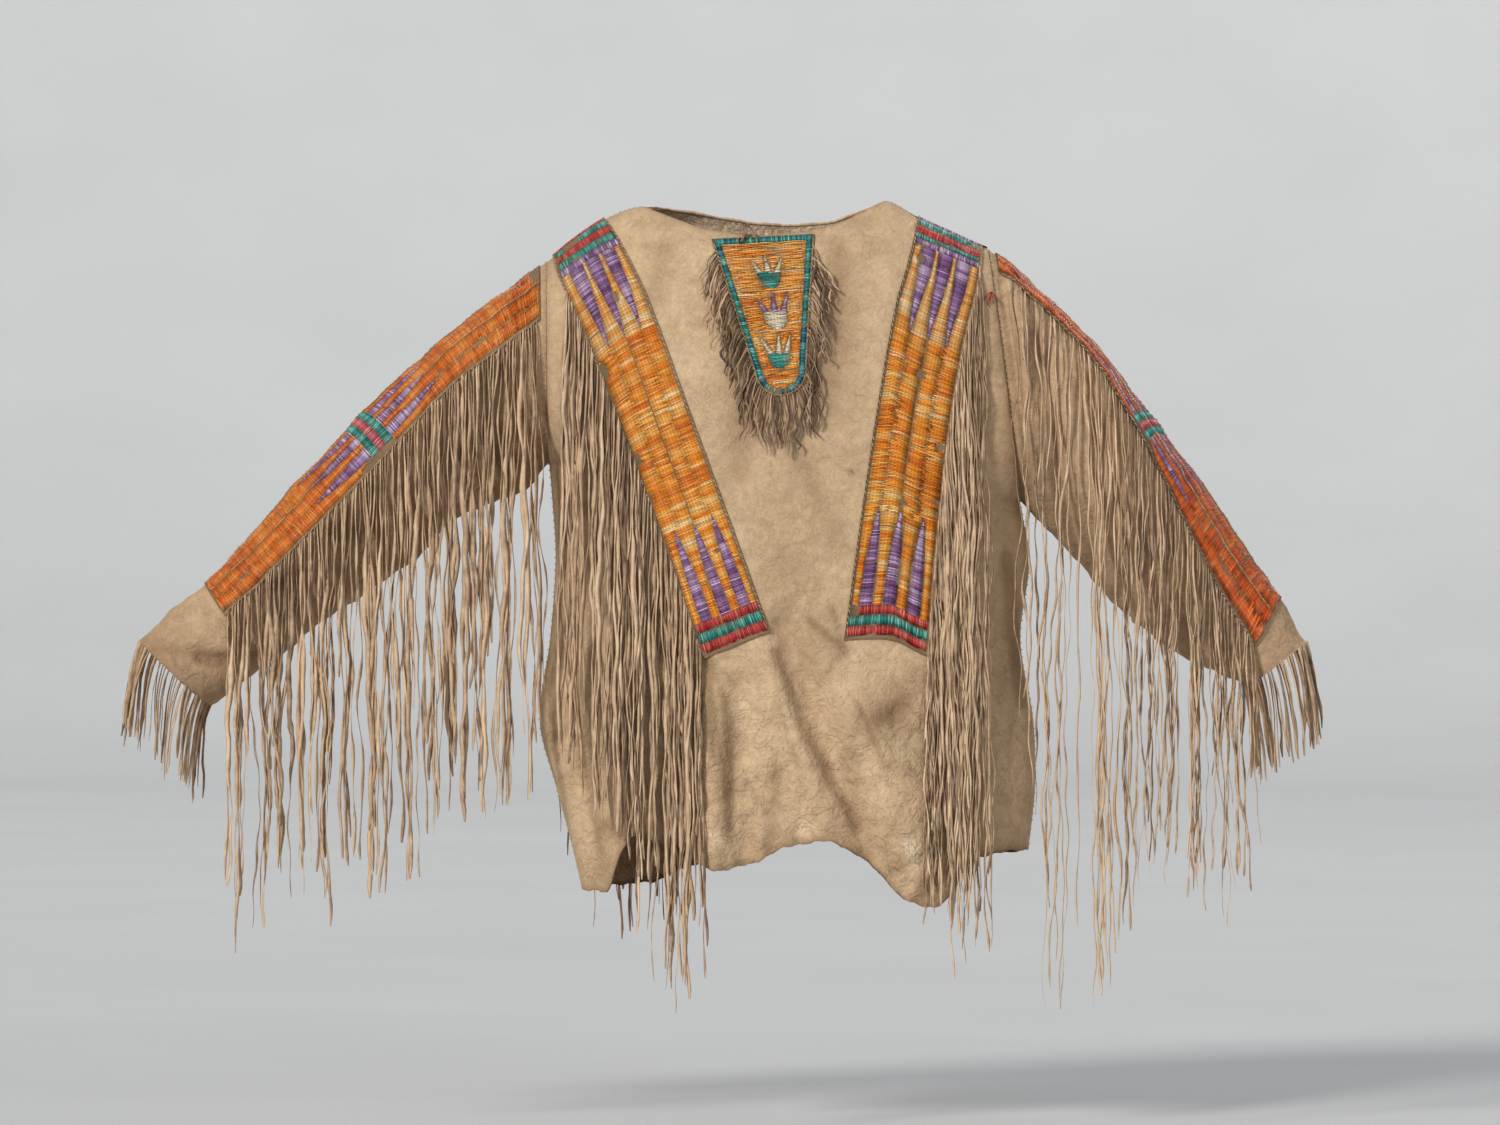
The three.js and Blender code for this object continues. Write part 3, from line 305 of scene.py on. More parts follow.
rng = np.random.default_rng(1880)
WAVES = [  # wavelength in mm, how many waves, height in mm
    (190, 7, 1.5), (85, 9, 0.75), (38, 12, 0.36), (19, 14, 0.16),
]
wave_sets = []
for wavelength, count, high in WAVES:
    turn = rng.uniform(0, math.pi, count)
    long = wavelength * rng.uniform(0.75, 1.3, count)
    wave_sets.append((2 * math.pi * np.cos(turn) / long, 2 * math.pi * np.sin(turn) / long,
                      rng.uniform(0, 2 * math.pi, count), high * 1.4 / math.sqrt(count), wavelength))


def unevenness(a, b, start=0, fine=1.0):
    """How a hide is never quite smooth: waves of many lengths and directions"""
    lift = np.zeros(np.broadcast(a, b).shape)
    for by_a, by_b, phase, high, wavelength in wave_sets:
        strength = fine if wavelength < 60 else 1.0
        for ka, kb, ph in zip(by_a, by_b, phase):
            lift += strength * high * np.sin(ka * a + kb * b + ph + start)
    return lift


def body_skin(face, x, z):
    """How far the front (face -1) or back (face 1) hide stands off the mid plane"""
    left, right = side_x("left", z), side_x("right", z)
    across = np.clip((2 * x - left - right) / (right - left), -1, 1)
    rounded = (1 - np.abs(across) ** SIDE_POWER) ** (1 / SIDE_POWER)
    drop = shoulder_z(x) - z
    lean = np.clip(1 - drop / SHOULDER_ROLL, 0, 1)
    roll = (1 - lean**ROLL_POWER) ** (1 / ROLL_POWER)
    edge = np.where(across < 0, edge_depth("left", z), edge_depth("right", z))
    middle = read(DEPTH, "z", "front" if face < 0 else "back", z) * roll
    folds = fold_lift(FRONT_FOLDS if face < 0 else BACK_FOLDS, x, z) * rounded * roll
    hem = np.clip((-z - 620) / 220, 0, 1)
    worn = fold_lift(FRONT_CREASES if face < 0 else BACK_CREASES, x, z)
    worn = worn + unevenness(x, z, 0 if face < 0 else 2.0, 1 + 2.2 * hem) * (0.8 + 0.5 * hem)
    return face * (edge + (middle - edge) * rounded + folds + worn * rounded * roll)


class Surface:
    """A smooth grid of points, read between them and off them along their own normals"""

    def __init__(self, points, outward, loop=False):
        self.points = points
        normal = np.cross(np.gradient(points, axis=0), np.gradient(points, axis=1))
        if loop:
            normal[0] = normal[-1] = normal[0] + normal[-1]
        normal /= np.maximum(np.linalg.norm(normal, axis=2, keepdims=True), 1e-9)
        self.normal = normal if (normal * outward).sum() > 0 else -normal

    def at(self, u, v, out=0.0):
        rows, columns = self.points.shape[:2]
        u, v, out = np.broadcast_arrays(u, v, out)
        a = np.clip(u, 0, 1) * (rows - 1)
        b = np.clip(v, 0, 1) * (columns - 1)
        i = np.minimum(a.astype(int), rows - 2)
        j = np.minimum(b.astype(int), columns - 2)
        s = (a - i)[..., None]
        t = (b - j)[..., None]

        def between(grid):
            near = grid[i, j] * (1 - t) + grid[i, j + 1] * t
            far = grid[i + 1, j] * (1 - t) + grid[i + 1, j + 1] * t
            return near * (1 - s) + far * s

        return between(self.points) + between(self.normal) * out[..., None]


def wall(name, outer, inner, loop=False):
    """A closed wall between two grids of points in millimetres; a loop joins up round itself"""
    size = outer[..., 0].size
    ids = np.arange(size).reshape(outer.shape[:2])
    if loop:
        ids = np.vstack([ids, ids[:1]])
    rims = []
    for line, turned in ((ids[:, 0], 0), (ids[:, -1], 1), (ids[0], 1), (ids[-1], 0)):
        if loop and len(line) == ids.shape[1]:
            continue
        rim = np.stack([line[:-1], line[1:], line[1:] + size, line[:-1] + size], -1)
        rims.append(rim[:, ::-1] if turned else rim)
    outside = grid_faces(ids)
    inside = outside[:, ::-1] + size
    points = np.concatenate([outer.reshape(-1, 3), inner.reshape(-1, 3)])
    faces = np.concatenate([outside, inside, *[rim[:, ::-1] for rim in rims]])
    a, b, c, d = (points[faces[:, k]] for k in range(4))
    volume = (a * np.cross(b, c)).sum() + (a * np.cross(c, d)).sum()
    return add_mesh(name, points * 0.001, faces if volume > 0 else faces[:, ::-1])


def write(made, name, values):
    """A number for each of a mesh's points, for its material to read"""
    made.data.attributes.new(name, "FLOAT", "POINT").data.foreach_set("value", np.ravel(values))


SIDE_COLUMNS = 34
NECK_COLUMNS = 76
HIDE_ROWS = {-1: 176, 1: 120}
ROW_POWER = 1.3


def hide_surface(face):
    """The outer face of one hide, as columns of points from the neck or shoulder to the hem"""
    thin = 1 if face < 0 else 2
    level = shoulder_z(0.0)
    left, right = side_x("left", level), side_x("right", level)
    corners = [(2 * x - left - right) / (right - left) for x in (NECK["x"][0], NECK["x"][-1])]
    turn = np.linspace(0, math.pi / 2, SIDE_COLUMNS // thin, endpoint=False)
    across = np.concatenate([
        -1 + (1 + corners[0]) * (1 - np.cos(turn)),
        np.linspace(*corners, NECK_COLUMNS // thin, endpoint=False),
        1 - (1 - corners[1]) * (1 - np.cos(np.append(turn, math.pi / 2)[::-1])),
    ])[:, None]

    def x_at(z):
        return side_x("left", z) + (side_x("right", z) - side_x("left", z)) * (across + 1) / 2

    top_x = x_at(level)
    top = shoulder_z(top_x) - read(NECK, "x", "front" if face < 0 else "back", top_x)
    hem_x = x_at(HEM_LEVEL)
    ragged = 1.5 * np.sin(hem_x * 0.11 + face) + 0.9 * np.sin(hem_x * 0.31)
    ragged += 0.4 * np.sin(hem_x * 0.83 + face)
    hem = read(FRONT_HEM if face < 0 else BACK_HEM, "x", "z", hem_x) + ragged
    share = (np.arange(HIDE_ROWS[face] + 1) / HIDE_ROWS[face]) ** ROW_POWER
    z = top + (hem - top) * share[None]
    x = x_at(z)
    y = body_skin(face, x, z)
    y = face * np.maximum(face * y, SEAM / 2)
    if face > 0:
        upright = np.clip(1 - (top - z) / NECK_BAND, 0, 1)
        y = y + NECK_UPRIGHT * upright * np.clip(read(NECK, "x", "back", x) / NECK_DEEP, 0, 1)
    return Surface(np.stack([x, y, z], -1), np.array([0, face, 0.2]))


def soiled(x, z, spots):
    """Stains from a table of round and long spots, 0 clean to 1 dark"""
    dark = np.zeros(np.broadcast(x, z).shape)
    for cx, cz, wide, tall, deep in zip(*spots.values()):
        dark = np.maximum(dark, deep * np.exp(-((x - cx) / wide) ** 2 - ((z - cz) / tall) ** 2))
    return dark


FRONT_SPOTS = table("x z wide tall deep", [
    (147, -640, 60, 34, 0.5), (170, -610, 46, 30, 0.34), (110, -335, 4, 4, 1.0), (96, -180, 30, 120, 0.3),
    (24, -440, 22, 60, 0.22), (66, -560, 34, 40, 0.34), (-110, -470, 40, 60, 0.2), (-44, -700, 14, 90, 0.3),
    (-160, -720, 20, 110, 0.42), (-196, -830, 20, 26, 0.5), (-104, -812, 26, 22, 0.4),
    (206, -850, 34, 22, 0.4), (110, -700, 16, 60, 0.36), (300, -300, 24, 60, 0.3),
    (334, -785, 4, 4, 1.0), (-240, -300, 30, 60, 0.3), (0, -46, 110, 10, 0.35),
    (-118, -26, 34, 12, 0.3), (120, -24, 34, 14, 0.35), (-70, -640, 26, 60, 0.26),
    (30, -330, 20, 40, 0.2), (60, -250, 26, 80, 0.24),
])
PALE_SPOTS = table("x z wide tall deep", [
    (191, -811, 11, 17, 0.95), (180, -794, 7, 9, 0.7), (203, -826, 8, 7, 0.7), (52, -776, 15, 9, 0.5),
    (-60, -785, 9, 8, 0.5), (-30, -640, 16, 30, 0.25),
])
BACK_SPOTS = table("x z wide tall deep", [
    (-60, -500, 70, 50, 0.35), (120, -640, 60, 70, 0.4), (0, -40, 120, 14, 0.4), (-180, -780, 40, 40, 0.45),
    (220, -300, 40, 80, 0.3), (40, -240, 60, 90, 0.2),
])


def three_tones(add, share, reach, dark, mid, light):
    """Colours that run from dark to light, as far as reach to each side of the middle"""
    ramp = add("ValToRGB", share)
    stops = ramp.color_ramp.elements
    for stop, at, colour in ((stops[0], 0.5 - reach, dark), (stops[1], 0.5 + reach, light)):
        stop.position = at
        stop.color = (*straight(colour), 1)
    stops.new(0.5).color = (*straight(mid), 1)
    return ramp


SOIL_AND_SHADE_TONE = (0.36, 0.29, 0.24, 1)
RUBBED_AND_LIT_PALE = (232, 220, 198)
WRINKLES = [  # scale of the wrinkles, how strong and how deep
    (170.0, 0.7, 0.0018), (70.0, 0.9, 0.0036), (30.0, 0.8, 0.0070),
]


def hide_finish(name, light, mid, dark):
    """Brain-tanned hide: napped and matt, mottled by smoke, grease and handling. A per-point attribute
    darkens it with stains and dirty edges and also with painted shade in creases, folds and on inner faces;
    where it goes below nothing the hide turns pale with scuffs and with painted light on the neck's inner
    band. The wrinkles' troughs carry a little painted shade.
    """
    made, add, shade, where = new_finish(name)

    def noise(scale, detail, rough, bent=0.0):
        return add("TexNoise", Vector=where, Scale=scale, Detail=detail, Roughness=rough, Distortion=bent)

    mottle = noise(42.0, 6.0, 0.66, 0.4)
    speck = noise(330.0, 4.0, 0.6)
    clouded = add("Mix", data_type="FLOAT", Factor=0.5, A=noise(7.0, 5.0, 0.62, 0.6), B=mottle)
    specked = add("Mix", data_type="FLOAT", Factor=0.24, A=clouded, B=speck)
    tones = three_tones(add, specked, 0.2, dark, mid, light)
    soil_and_painted_light = add("Attribute", attribute_name="soil_and_painted_light").outputs["Fac"]
    broken = add("Math", mottle, 0.9, 0.5, operation="MULTIPLY_ADD")
    # Darkens where the point attribute says: stains and dirty edges, and painted shade in creases, folds and
    # on inner faces.
    stain_and_shade = add("Math", soil_and_painted_light, broken, operation="MULTIPLY", use_clamp=True)
    stained_and_shaded = add("Mix", data_type="RGBA", blend_type="MULTIPLY", Factor=stain_and_shade, A=tones, B=SOIL_AND_SHADE_TONE)
    flecks = add("MapRange", Value=speck, From_Min=0.46, From_Max=0.58, To_Max=-1.0)
    # Where the attribute goes below nothing the hide turns pale: scuffs, and painted light on the neck's
    # inner band.
    rubbed_and_lit = add("Math", soil_and_painted_light, flecks, operation="MULTIPLY", use_clamp=True)
    paint = add("Mix", data_type="RGBA", Factor=rubbed_and_lit, A=stained_and_shaded, B=(*straight(RUBBED_AND_LIT_PALE), 1))
    soft = add("Math", noise(1500.0, 3.0, 0.7), 0.45, speck, operation="MULTIPLY_ADD")
    pores = add("TexVoronoi", Vector=where, Scale=520.0)
    pitted = add("Math", pores, 0.5, soft, operation="MULTIPLY_ADD")
    relief = add("Bump", Strength=0.55, Distance=0.0009, Height=pitted)
    crinkled = add("Attribute", attribute_name="crinkled").outputs["Fac"]
    for scale, strength, deep in WRINKLES:
        centred = add("Math", noise(scale, 3.0, 0.5, 0.5), 0.5, operation="SUBTRACT")
        folded = add("Math", centred, operation="ABSOLUTE")
        crease = add("Math", folded, 0.6, operation="POWER")
        much = add("Math", crinkled, strength, operation="MULTIPLY")
        relief = add("Bump", Strength=much, Distance=deep, Height=crease, Normal=relief)
        # Painted shade: the wrinkles' troughs are a little darker in colour.
        shadow = add("MapRange", Value=crease, From_Max=0.26, To_Min=0.92, To_Max=1.02)
        paint = add("VectorMath", paint, operation="SCALE", Scale=shadow)
    shade(Base_Color=paint, Normal=relief, Roughness=0.93, Specular_IOR_Level=0.18, Sheen_Weight=0.22,
          Sheen_Roughness=0.6, Sheen_Tint=(*straight(light), 1))
    return made


def fit(piece, slot, *nodes):
    """Ties a piece to the shirt's one body and hides the model's parts that it stands for. Its slot is not
    used
    """
    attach(piece, "root")
    if nodes:
        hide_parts(*nodes)


CRINKLED_FROM, CRINKLED_OVER = 510.0, 140.0  # the body's lower part is more crinkled
body_hide = hide_finish("body hide", (222, 194, 158), (200, 171, 136), (164, 136, 106))
hides = {}
for face, name, flat_size in ((-1, "front_hide", (0.64, 0.9)), (1, "back_hide", (0.64, 0.88))):
    surface = hide_surface(face)
    outer = surface.points
    inner = surface.at(
        np.linspace(0, 1, outer.shape[0])[:, None], np.linspace(0, 1, outer.shape[1])[None], -HIDE
    )
    inner[..., 1] = face * np.maximum(face * inner[..., 1], SEAM / 2)
    for i, side, out in ((0, "left", -1), (-1, "right", 1)):
        for edge in (outer[i], inner[i]):
            z = edge[:, 2]
            on_armhole = z > ARMHOLE[side]["lowZ"]
            edge[:, 0] = np.where(on_armhole, armhole_x(side, z) - out * SEAM / 2, edge[:, 0])
            edge[:, 1] = np.where(on_armhole, edge[:, 1], face * SEAM / 2)
    panel = wall(name + "_worn", outer, inner)
    x, z = outer[..., 0], outer[..., 2]
    to_hem = np.abs(z - z[:, -1:])
    to_top = np.abs(z - z[:, :1])
    to_side = np.minimum(np.abs(x - side_x("left", z)), np.abs(x - side_x("right", z)))
    creases = fold_lift(FRONT_CREASES if face < 0 else BACK_CREASES, x, z)
    dirt_and_painted_shade = soiled(x, z, FRONT_SPOTS if face < 0 else BACK_SPOTS)
    for edge_dirt in (0.6 * np.exp(-to_hem / 7) + 0.25 * np.exp(-to_hem / 60),
                      0.55 * np.exp(-to_top / 5), 0.35 * np.exp(-to_side / 12)):
        dirt_and_painted_shade = np.maximum(dirt_and_painted_shade, edge_dirt)
    # Painted shade: the fine creases' troughs are darkened in colour, on top of the stains and dirty edges.
    dirt_and_painted_shade = np.clip(dirt_and_painted_shade + np.clip(-creases / 7, 0, 0.55), 0, 1)
    # The inner faces: painted shade with some of the outer face's darkening, turned pale near the top with
    # painted light so that the back's inner band at the neck looks lit.
    lining_dirt_and_painted_light = np.clip(0.9 + 0.3 * dirt_and_painted_shade - 2.1 * np.exp(-((to_top / 70) ** 2)), -0.8, 1)
    if face < 0:
        dirt_and_painted_shade = dirt_and_painted_shade - 1.6 * soiled(x, z, PALE_SPOTS)
    write(panel, "soil_and_painted_light", np.concatenate([dirt_and_painted_shade.ravel(), lining_dirt_and_painted_light.ravel()]))
    crinkled = 0.30 + 0.42 * np.clip((-z - CRINKLED_FROM) / CRINKLED_OVER, 0, 1) + 0.3 * np.exp(-to_top / 25)
    write(panel, "crinkled", np.concatenate([crinkled.ravel(), crinkled.ravel()]))
    panel.data.materials.append(body_hide)
    fit(panel, "hide", name)
    hides[face] = surface


# The sleeves: one hide each, sewn into a tube and into its armhole, with its end left open. They
# are held out at the sides, so the hide drags in slanting folds round the elbow and under the arm.
SLEEVE_COLUMNS = "topX topZ lowX lowZ depth"
SLEEVES = {
    "left": table(SLEEVE_COLUMNS, [
        (-268, -71, -266, -322, 72), (-302, -96, -292, -349, 75), (-342, -126, -321, -366, 74),
        (-390, -162, -352, -380, 70), (-440, -208, -388, -397, 65), (-494, -260, -421, -426, 61),
        (-548, -314, -459, -458, 57), (-598, -368, -501, -488, 53), (-640, -415, -550, -521, 49),
        (-677, -456, -600, -559, 46), (-715, -488, -644, -589, 44), (-749, -516, -670, -609, 43),
        (-778, -544, -691, -626, 44),
    ]),
    "right": table(SLEEVE_COLUMNS, [
        (282, -56, 322, -369, 80), (316, -81, 348, -396, 92), (354, -114, 375, -425, 100),
        (391, -150, 400, -451, 102), (424, -186, 422, -475, 101), (460, -228, 445, -499, 97),
        (495, -272, 468, -519, 89), (529, -320, 492, -540, 78), (558, -364, 518, -559, 66),
        (588, -406, 544, -574, 55), (619, -450, 569, -586, 48), (651, -496, 588, -595, 44),
        (680, -546, 604, -604, 42),
    ]),
}
SECTIONS = 12
# Folds on a sleeve, along it in mm and round it in degrees from its front, up being 90. Those on
# its back and top are the same on both.
FAR_FOLDS = [
    (20, 200, 160, 240, 16, -6), (250, 190, 360, 250, 14, 6), (330, 200, 430, 260, 14, -6),
    (480, 190, 560, 230, 12, 4), (300, 120, 420, 170, 14, -4),
]
SLEEVE_FOLDS = {
    "left": table(FOLD_COLUMNS, [
        (30, -60, 150, -20, 14, -6), (60, -80, 220, -50, 12, 5), (230, -70, 330, 0, 13, -6),
        (270, -80, 380, -20, 12, 6), (330, -60, 420, 10, 12, -6), (400, -50, 470, 20, 11, 5),
        (440, -70, 540, -10, 12, -5), (520, -30, 590, 40, 12, -3), *FAR_FOLDS,
    ]),
    "right": table(FOLD_COLUMNS, [
        (18, 50, 24, -60, 9, -11), (44, 46, 52, -50, 10, 5), (74, 30, 96, -70, 14, -7),
        (120, 20, 150, -60, 16, 5), (250, -60, 330, 0, 14, -6), (300, -80, 390, -20, 12, 6),
        (370, -60, 440, 10, 12, -5), (470, -50, 540, 10, 12, 4), *FAR_FOLDS,
    ]),
}
SLEEVE_ROUND = 100
SLEEVE_ALONG = 112
SLEEVE_LONG = 600.0
CUFF_SOIL = {"left": 0.5, "right": 0.2}

sleeve_hide = hide_finish("sleeve hide", (212, 182, 146), (190, 160, 127), (154, 126, 97))
sleeves = {}
for side, name, out in (("left", "left_sleeve", -1), ("right", "right_sleeve", 1)):
    rows = dict(SLEEVES[side], number=np.arange(SECTIONS + 1.0))
    turn = np.radians(np.linspace(0, 360, SLEEVE_ROUND + 1))[:, None]
    section = np.linspace(0, SECTIONS, SLEEVE_ALONG + 1)[None]
    top_x, top_z, low_x, low_z, deep = (read(rows, "number", c, section) for c in SLEEVE_COLUMNS.split())
    middle = np.stack(np.broadcast_arrays((top_x + low_x) / 2, 0.0, (top_z + low_z) / 2), -1)
    smooth = np.stack([
        middle[..., 0] + (top_x - low_x) / 2 * np.sin(turn),
        -deep * np.cos(turn),
        middle[..., 2] + (top_z - low_z) / 2 * np.sin(turn),
    ], -1)
    plain = Surface(smooth, smooth - middle, loop=True)
    degrees = np.degrees(turn)
    degrees = np.where(degrees > 270, degrees - 360, degrees)
    along = section / SECTIONS * SLEEVE_LONG
    lift = fold_lift(SLEEVE_FOLDS[side], along, degrees)
    wobble = unevenness(along, smooth[..., 1] * 1.4 + smooth[..., 2] * 0.6, 4.0 * out, 1.5)
    start = np.clip(along / 40, 0, 1)
    points = smooth + plain.normal * ((lift + wobble) * start)[..., None]
    points[:, 0, 0] = armhole_x(side, points[:, 0, 2]) + out * SEAM / 2
    points[-1] = points[0]
    surface = Surface(points, points - middle, loop=True)
    outer = surface.points[:-1]
    inner = outer - surface.normal[:-1] * HIDE
    inner[:, 0, 0] = armhole_x(side, inner[:, 0, 2]) + out * SEAM / 2
    tube = wall(name + "_worn", outer, inner, loop=True)
    to_cuff = np.broadcast_to(SLEEVE_LONG - along, outer.shape[:2])
    # Soiling at the cuff, and painted shade in the troughs of the folds.
    dirt_and_painted_shade = CUFF_SOIL[side] * np.exp(-to_cuff / 55) + 0.5 * np.exp(-((lift[:-1] + 6) / 3) ** 2)
    dirt_and_painted_shade = np.maximum(dirt_and_painted_shade, 0.4 * np.exp(-(SLEEVE_LONG - to_cuff) / 10))
    # Painted shade on the sleeve's lower half.
    under = np.clip(-np.sin(turn[:-1]), 0, 1) * 0.35
    dirt_and_painted_shade = np.clip(np.maximum(dirt_and_painted_shade, under), 0, 1)
    # The inner face gets more painted shade.
    write(tube, "soil_and_painted_light", np.concatenate([dirt_and_painted_shade.ravel(), np.clip(dirt_and_painted_shade.ravel() + 0.25, 0, 1)]))
    write(tube, "crinkled", np.full(2 * dirt_and_painted_shade.size, 0.5))
    tube.data.materials.append(sleeve_hide)
    fit(tube, "hide", name)
    sleeves[side] = surface


# The quilled strips: a band of hide over each shoulder and down each sleeve, covered with dyed and
# flattened porcupine quills. They are folded to and fro between two threads of sinew in lanes
# up to 2 cm wide. The ground is orange, with tapering purple spikes and cross bars of red and teal.
LIE = 1.2
BACKING = 1.5
QUILL_HIGH = 1.0
QUILL_PITCH = 1.7
STRIP_BORDER = 3.4
LANE_WIDE = 19.0
BAND_WIDE = 4.2  # from one pale turn of the quills to the next
STRIP_COLUMNS = "station innerX innerDrop outerX outerDrop"
SHOULDER_STRIPS = {
    "left": table(STRIP_COLUMNS, [
        (0, -196, 0, -260, 0), (0.06, -184, 22, -257, 18), (0.14, -163, 68, -241, 70),
        (0.26, -136, 132, -214, 152), (0.5, -88, 266, -166, 298), (0.75, -38, 402, -118, 434),
        (1, 10, 536, -74, 568),
    ]),
    "right": table(STRIP_COLUMNS, [
        (0, 194, 0, 274, 0), (0.06, 190, 22, 273, 20), (0.14, 180, 68, 266, 64),
        (0.26, 164, 134, 251, 132), (0.5, 140, 274, 231, 258), (0.75, 120, 412, 217, 396),
        (1, 101, 550, 206, 542),
    ]),
}
SLEEVE_STRIPS = {
    "left": table("section upper lower", [
        (0.25, 84, 27), (3, 82, 26), (5, 77, 18), (8, 80, 15), (9.5, 84, 12),
    ]),
    "right": table("section upper lower", [
        (0.25, 102, 58), (3, 98, 56), (5, 84, 40), (7, 78, 23), (10.9, 84, -10),
    ]),
}
DYES = {  # deep, usual and pale shades, as they look on screen
    "orange": ((222, 104, 6), (255, 156, 28), (255, 206, 112)),
    "bright": ((204, 88, 8), (238, 124, 24), (252, 164, 70)),
    "amber": ((232, 132, 34), (248, 176, 84), (254, 226, 176)),
    "straw": ((250, 172, 80), (253, 202, 128), (254, 230, 186)),
    "deep": ((184, 66, 8), (226, 96, 20), (246, 140, 56)),
    "purple": ((106, 60, 114), (162, 116, 168), (232, 210, 234)),
    "teal": ((6, 104, 96), (26, 148, 136), (128, 208, 192)),
    "red": ((150, 24, 30), (206, 50, 48), (234, 124, 106)),
    "pink": ((170, 44, 62), (212, 92, 102), (234, 162, 158)),
    "blue": ((18, 78, 106), (36, 130, 146), (120, 188, 188)),
    "cream": ((220, 198, 154), (240, 226, 192), (250, 242, 222)),
}
CORNERS_T = np.array([0, 0.5, 1, 1, 1, 0.5, 0, 0, 0.5])
CORNERS_W = np.array([-1, -1, -1, 0, 1, 1, 1, 0, 0])
QUILL_FACES = np.array([
    (0, 1, 8, 7), (1, 2, 3, 8), (7, 8, 5, 6), (8, 3, 4, 5), (7, 6, 1, 0), (6, 5, 2, 1), (5, 4, 3, 2),
])


def quill_mesh(name, surface, quills, bands, rest=LIE + BACKING):
    """One closed low ridge for each quill: its two ends, its half width, all in shares of the
    surface, how high it stands and its colour. Each turn of the quills leaves a paler band."""
    ends = np.array([q[:6] for q in quills])
    start, end, half = ends[:, 0:2], ends[:, 2:4], ends[:, 4:6]
    high = np.array([q[6] for q in quills])
    colour = np.array([q[7] for q in quills])
    t = CORNERS_T[None, :, None]
    w = CORNERS_W[None, :, None]
    spot = start[:, None] + (end - start)[:, None] * t + half[:, None] * w
    arch = (1 - 0.72 * np.abs(2 * CORNERS_T - 1)) * (1 - 0.5 * np.abs(CORNERS_W))
    out = rest - 0.15 + high[:, None] * QUILL_HIGH * arch[None]
    points = surface.at(spot[..., 0], spot[..., 1], out)
    faces = (QUILL_FACES[None] + 9 * np.arange(len(quills))[:, None, None]).reshape(-1, 4)
    points = points.reshape(-1, 3)
    first = points[faces[0]]
    facing = np.cross(first[1] - first[0], first[2] - first[0])
    lifted = surface.at(spot[0, 8, 0], spot[0, 8, 1], 1.0) - surface.at(spot[0, 8, 0], spot[0, 8, 1], 0.0)
    made = add_mesh(name, points * 0.001, faces if (facing * lifted).sum() > 0 else faces[:, ::-1])
    # Painted shade, not wear: each quill's colour darkens towards its sides and ends so that the gaps between
    # quills look shaded.
    worn = 1 - 0.34 * np.abs(CORNERS_W) - 0.16 * np.abs(2 * CORNERS_T - 1)
    dye_and_painted_edge_shade = np.ones((len(quills), 9, 4))
    dye_and_painted_edge_shade[..., :3] = colour[:, None] * worn[None, :, None]
    made.data.attributes.new("dye", "FLOAT_COLOR", "POINT").data.foreach_set("color", dye_and_painted_edge_shade.ravel())
    write(made, "band", spot[..., 1] * bands)
    return made


def dyed(kind, lean=0.0):
    """One quill's own shade: lean runs from -1, deep, to 1, pale"""
    deep, usual, pale = (straight(c) for c in DYES[kind])
    s = np.clip(lean + rng.normal(0, 0.42), -1, 1)
    return (usual + (pale - usual) * s if s > 0 else usual + (deep - usual) * -s) * rng.uniform(0.88, 1.1)


def slow(at, seed):
    """A slow wave of no fixed length, from about -1 to 1"""
    rates = ((0.043, 1), (0.101, 2.3), (0.27, 4.1))
    return sum(math.sin(at * rate + seed * own) for rate, own in rates) / 2.4


def lane_quills(strip, run, lanes, seed):
    """The quills of one row: each lane holds its two edges across in mm and its dye"""
    made = []
    for number, (low, high, dye) in enumerate(lanes):
        width = high - low
        if width < 0.8:
            continue
        parts = max(1, round(width / LANE_WIDE + 0.18))
        cuts = low + width * np.arange(parts + 1) / parts + rng.normal(0, 0.2, parts + 1)
        cuts[1:-1] += rng.normal(0, 2.4, parts - 1)
        for part in range(parts):
            a = cuts[part] - (0.5 if part else 0.0)
            b = cuts[part + 1] + (0.5 if part < parts - 1 else 0.0)
            patch = slow(run + 9 * number, seed) + 0.5 * slow((a + b) * 3.5 + run * 0.3, seed + 2)
            kind = dye
            if dye in ("orange", "amber") and rng.random() < 0.04 + 0.24 * max(patch, 0):
                kind = "straw"
            skew = rng.normal(0, 0.22)
            half = strip.u(run + QUILL_PITCH * rng.uniform(0.42, 0.54)) - strip.u(run)
            for c, d in strip.left_of(run, a, b):
                made.append((strip.u(run - skew), strip.v(c), strip.u(run + skew), strip.v(d), half, 0.0,
                             rng.uniform(0.75, 1.15), dyed(kind, 0.5 * patch + 0.2 * math.sin(run * 1.9))))
    return made


def squared(surface):
    """The same surface with its rows turned square to its length, but for its two ends"""
    points = surface.points
    middle = points[:, points.shape[1] // 2]
    forward = np.gradient(middle, axis=0)
    aside = points[:, -1] - points[:, 0]
    run = np.r_[0, np.cumsum(np.linalg.norm(np.diff(middle, axis=0), axis=1))]
    lean = (forward * aside).sum(1) / np.linalg.norm(forward, axis=1)
    fade = np.clip(np.minimum(run, run[-1] - run) / 70, 0, 1)
    fade = fade * fade * (3 - 2 * fade)
    v = np.linspace(0, 1, points.shape[1])[None]
    u = np.linspace(0, 1, len(run))[:, None] - (lean * fade / run[-1])[:, None] * (v - 0.5)
    return Surface(surface.at(u, v), surface.normal)


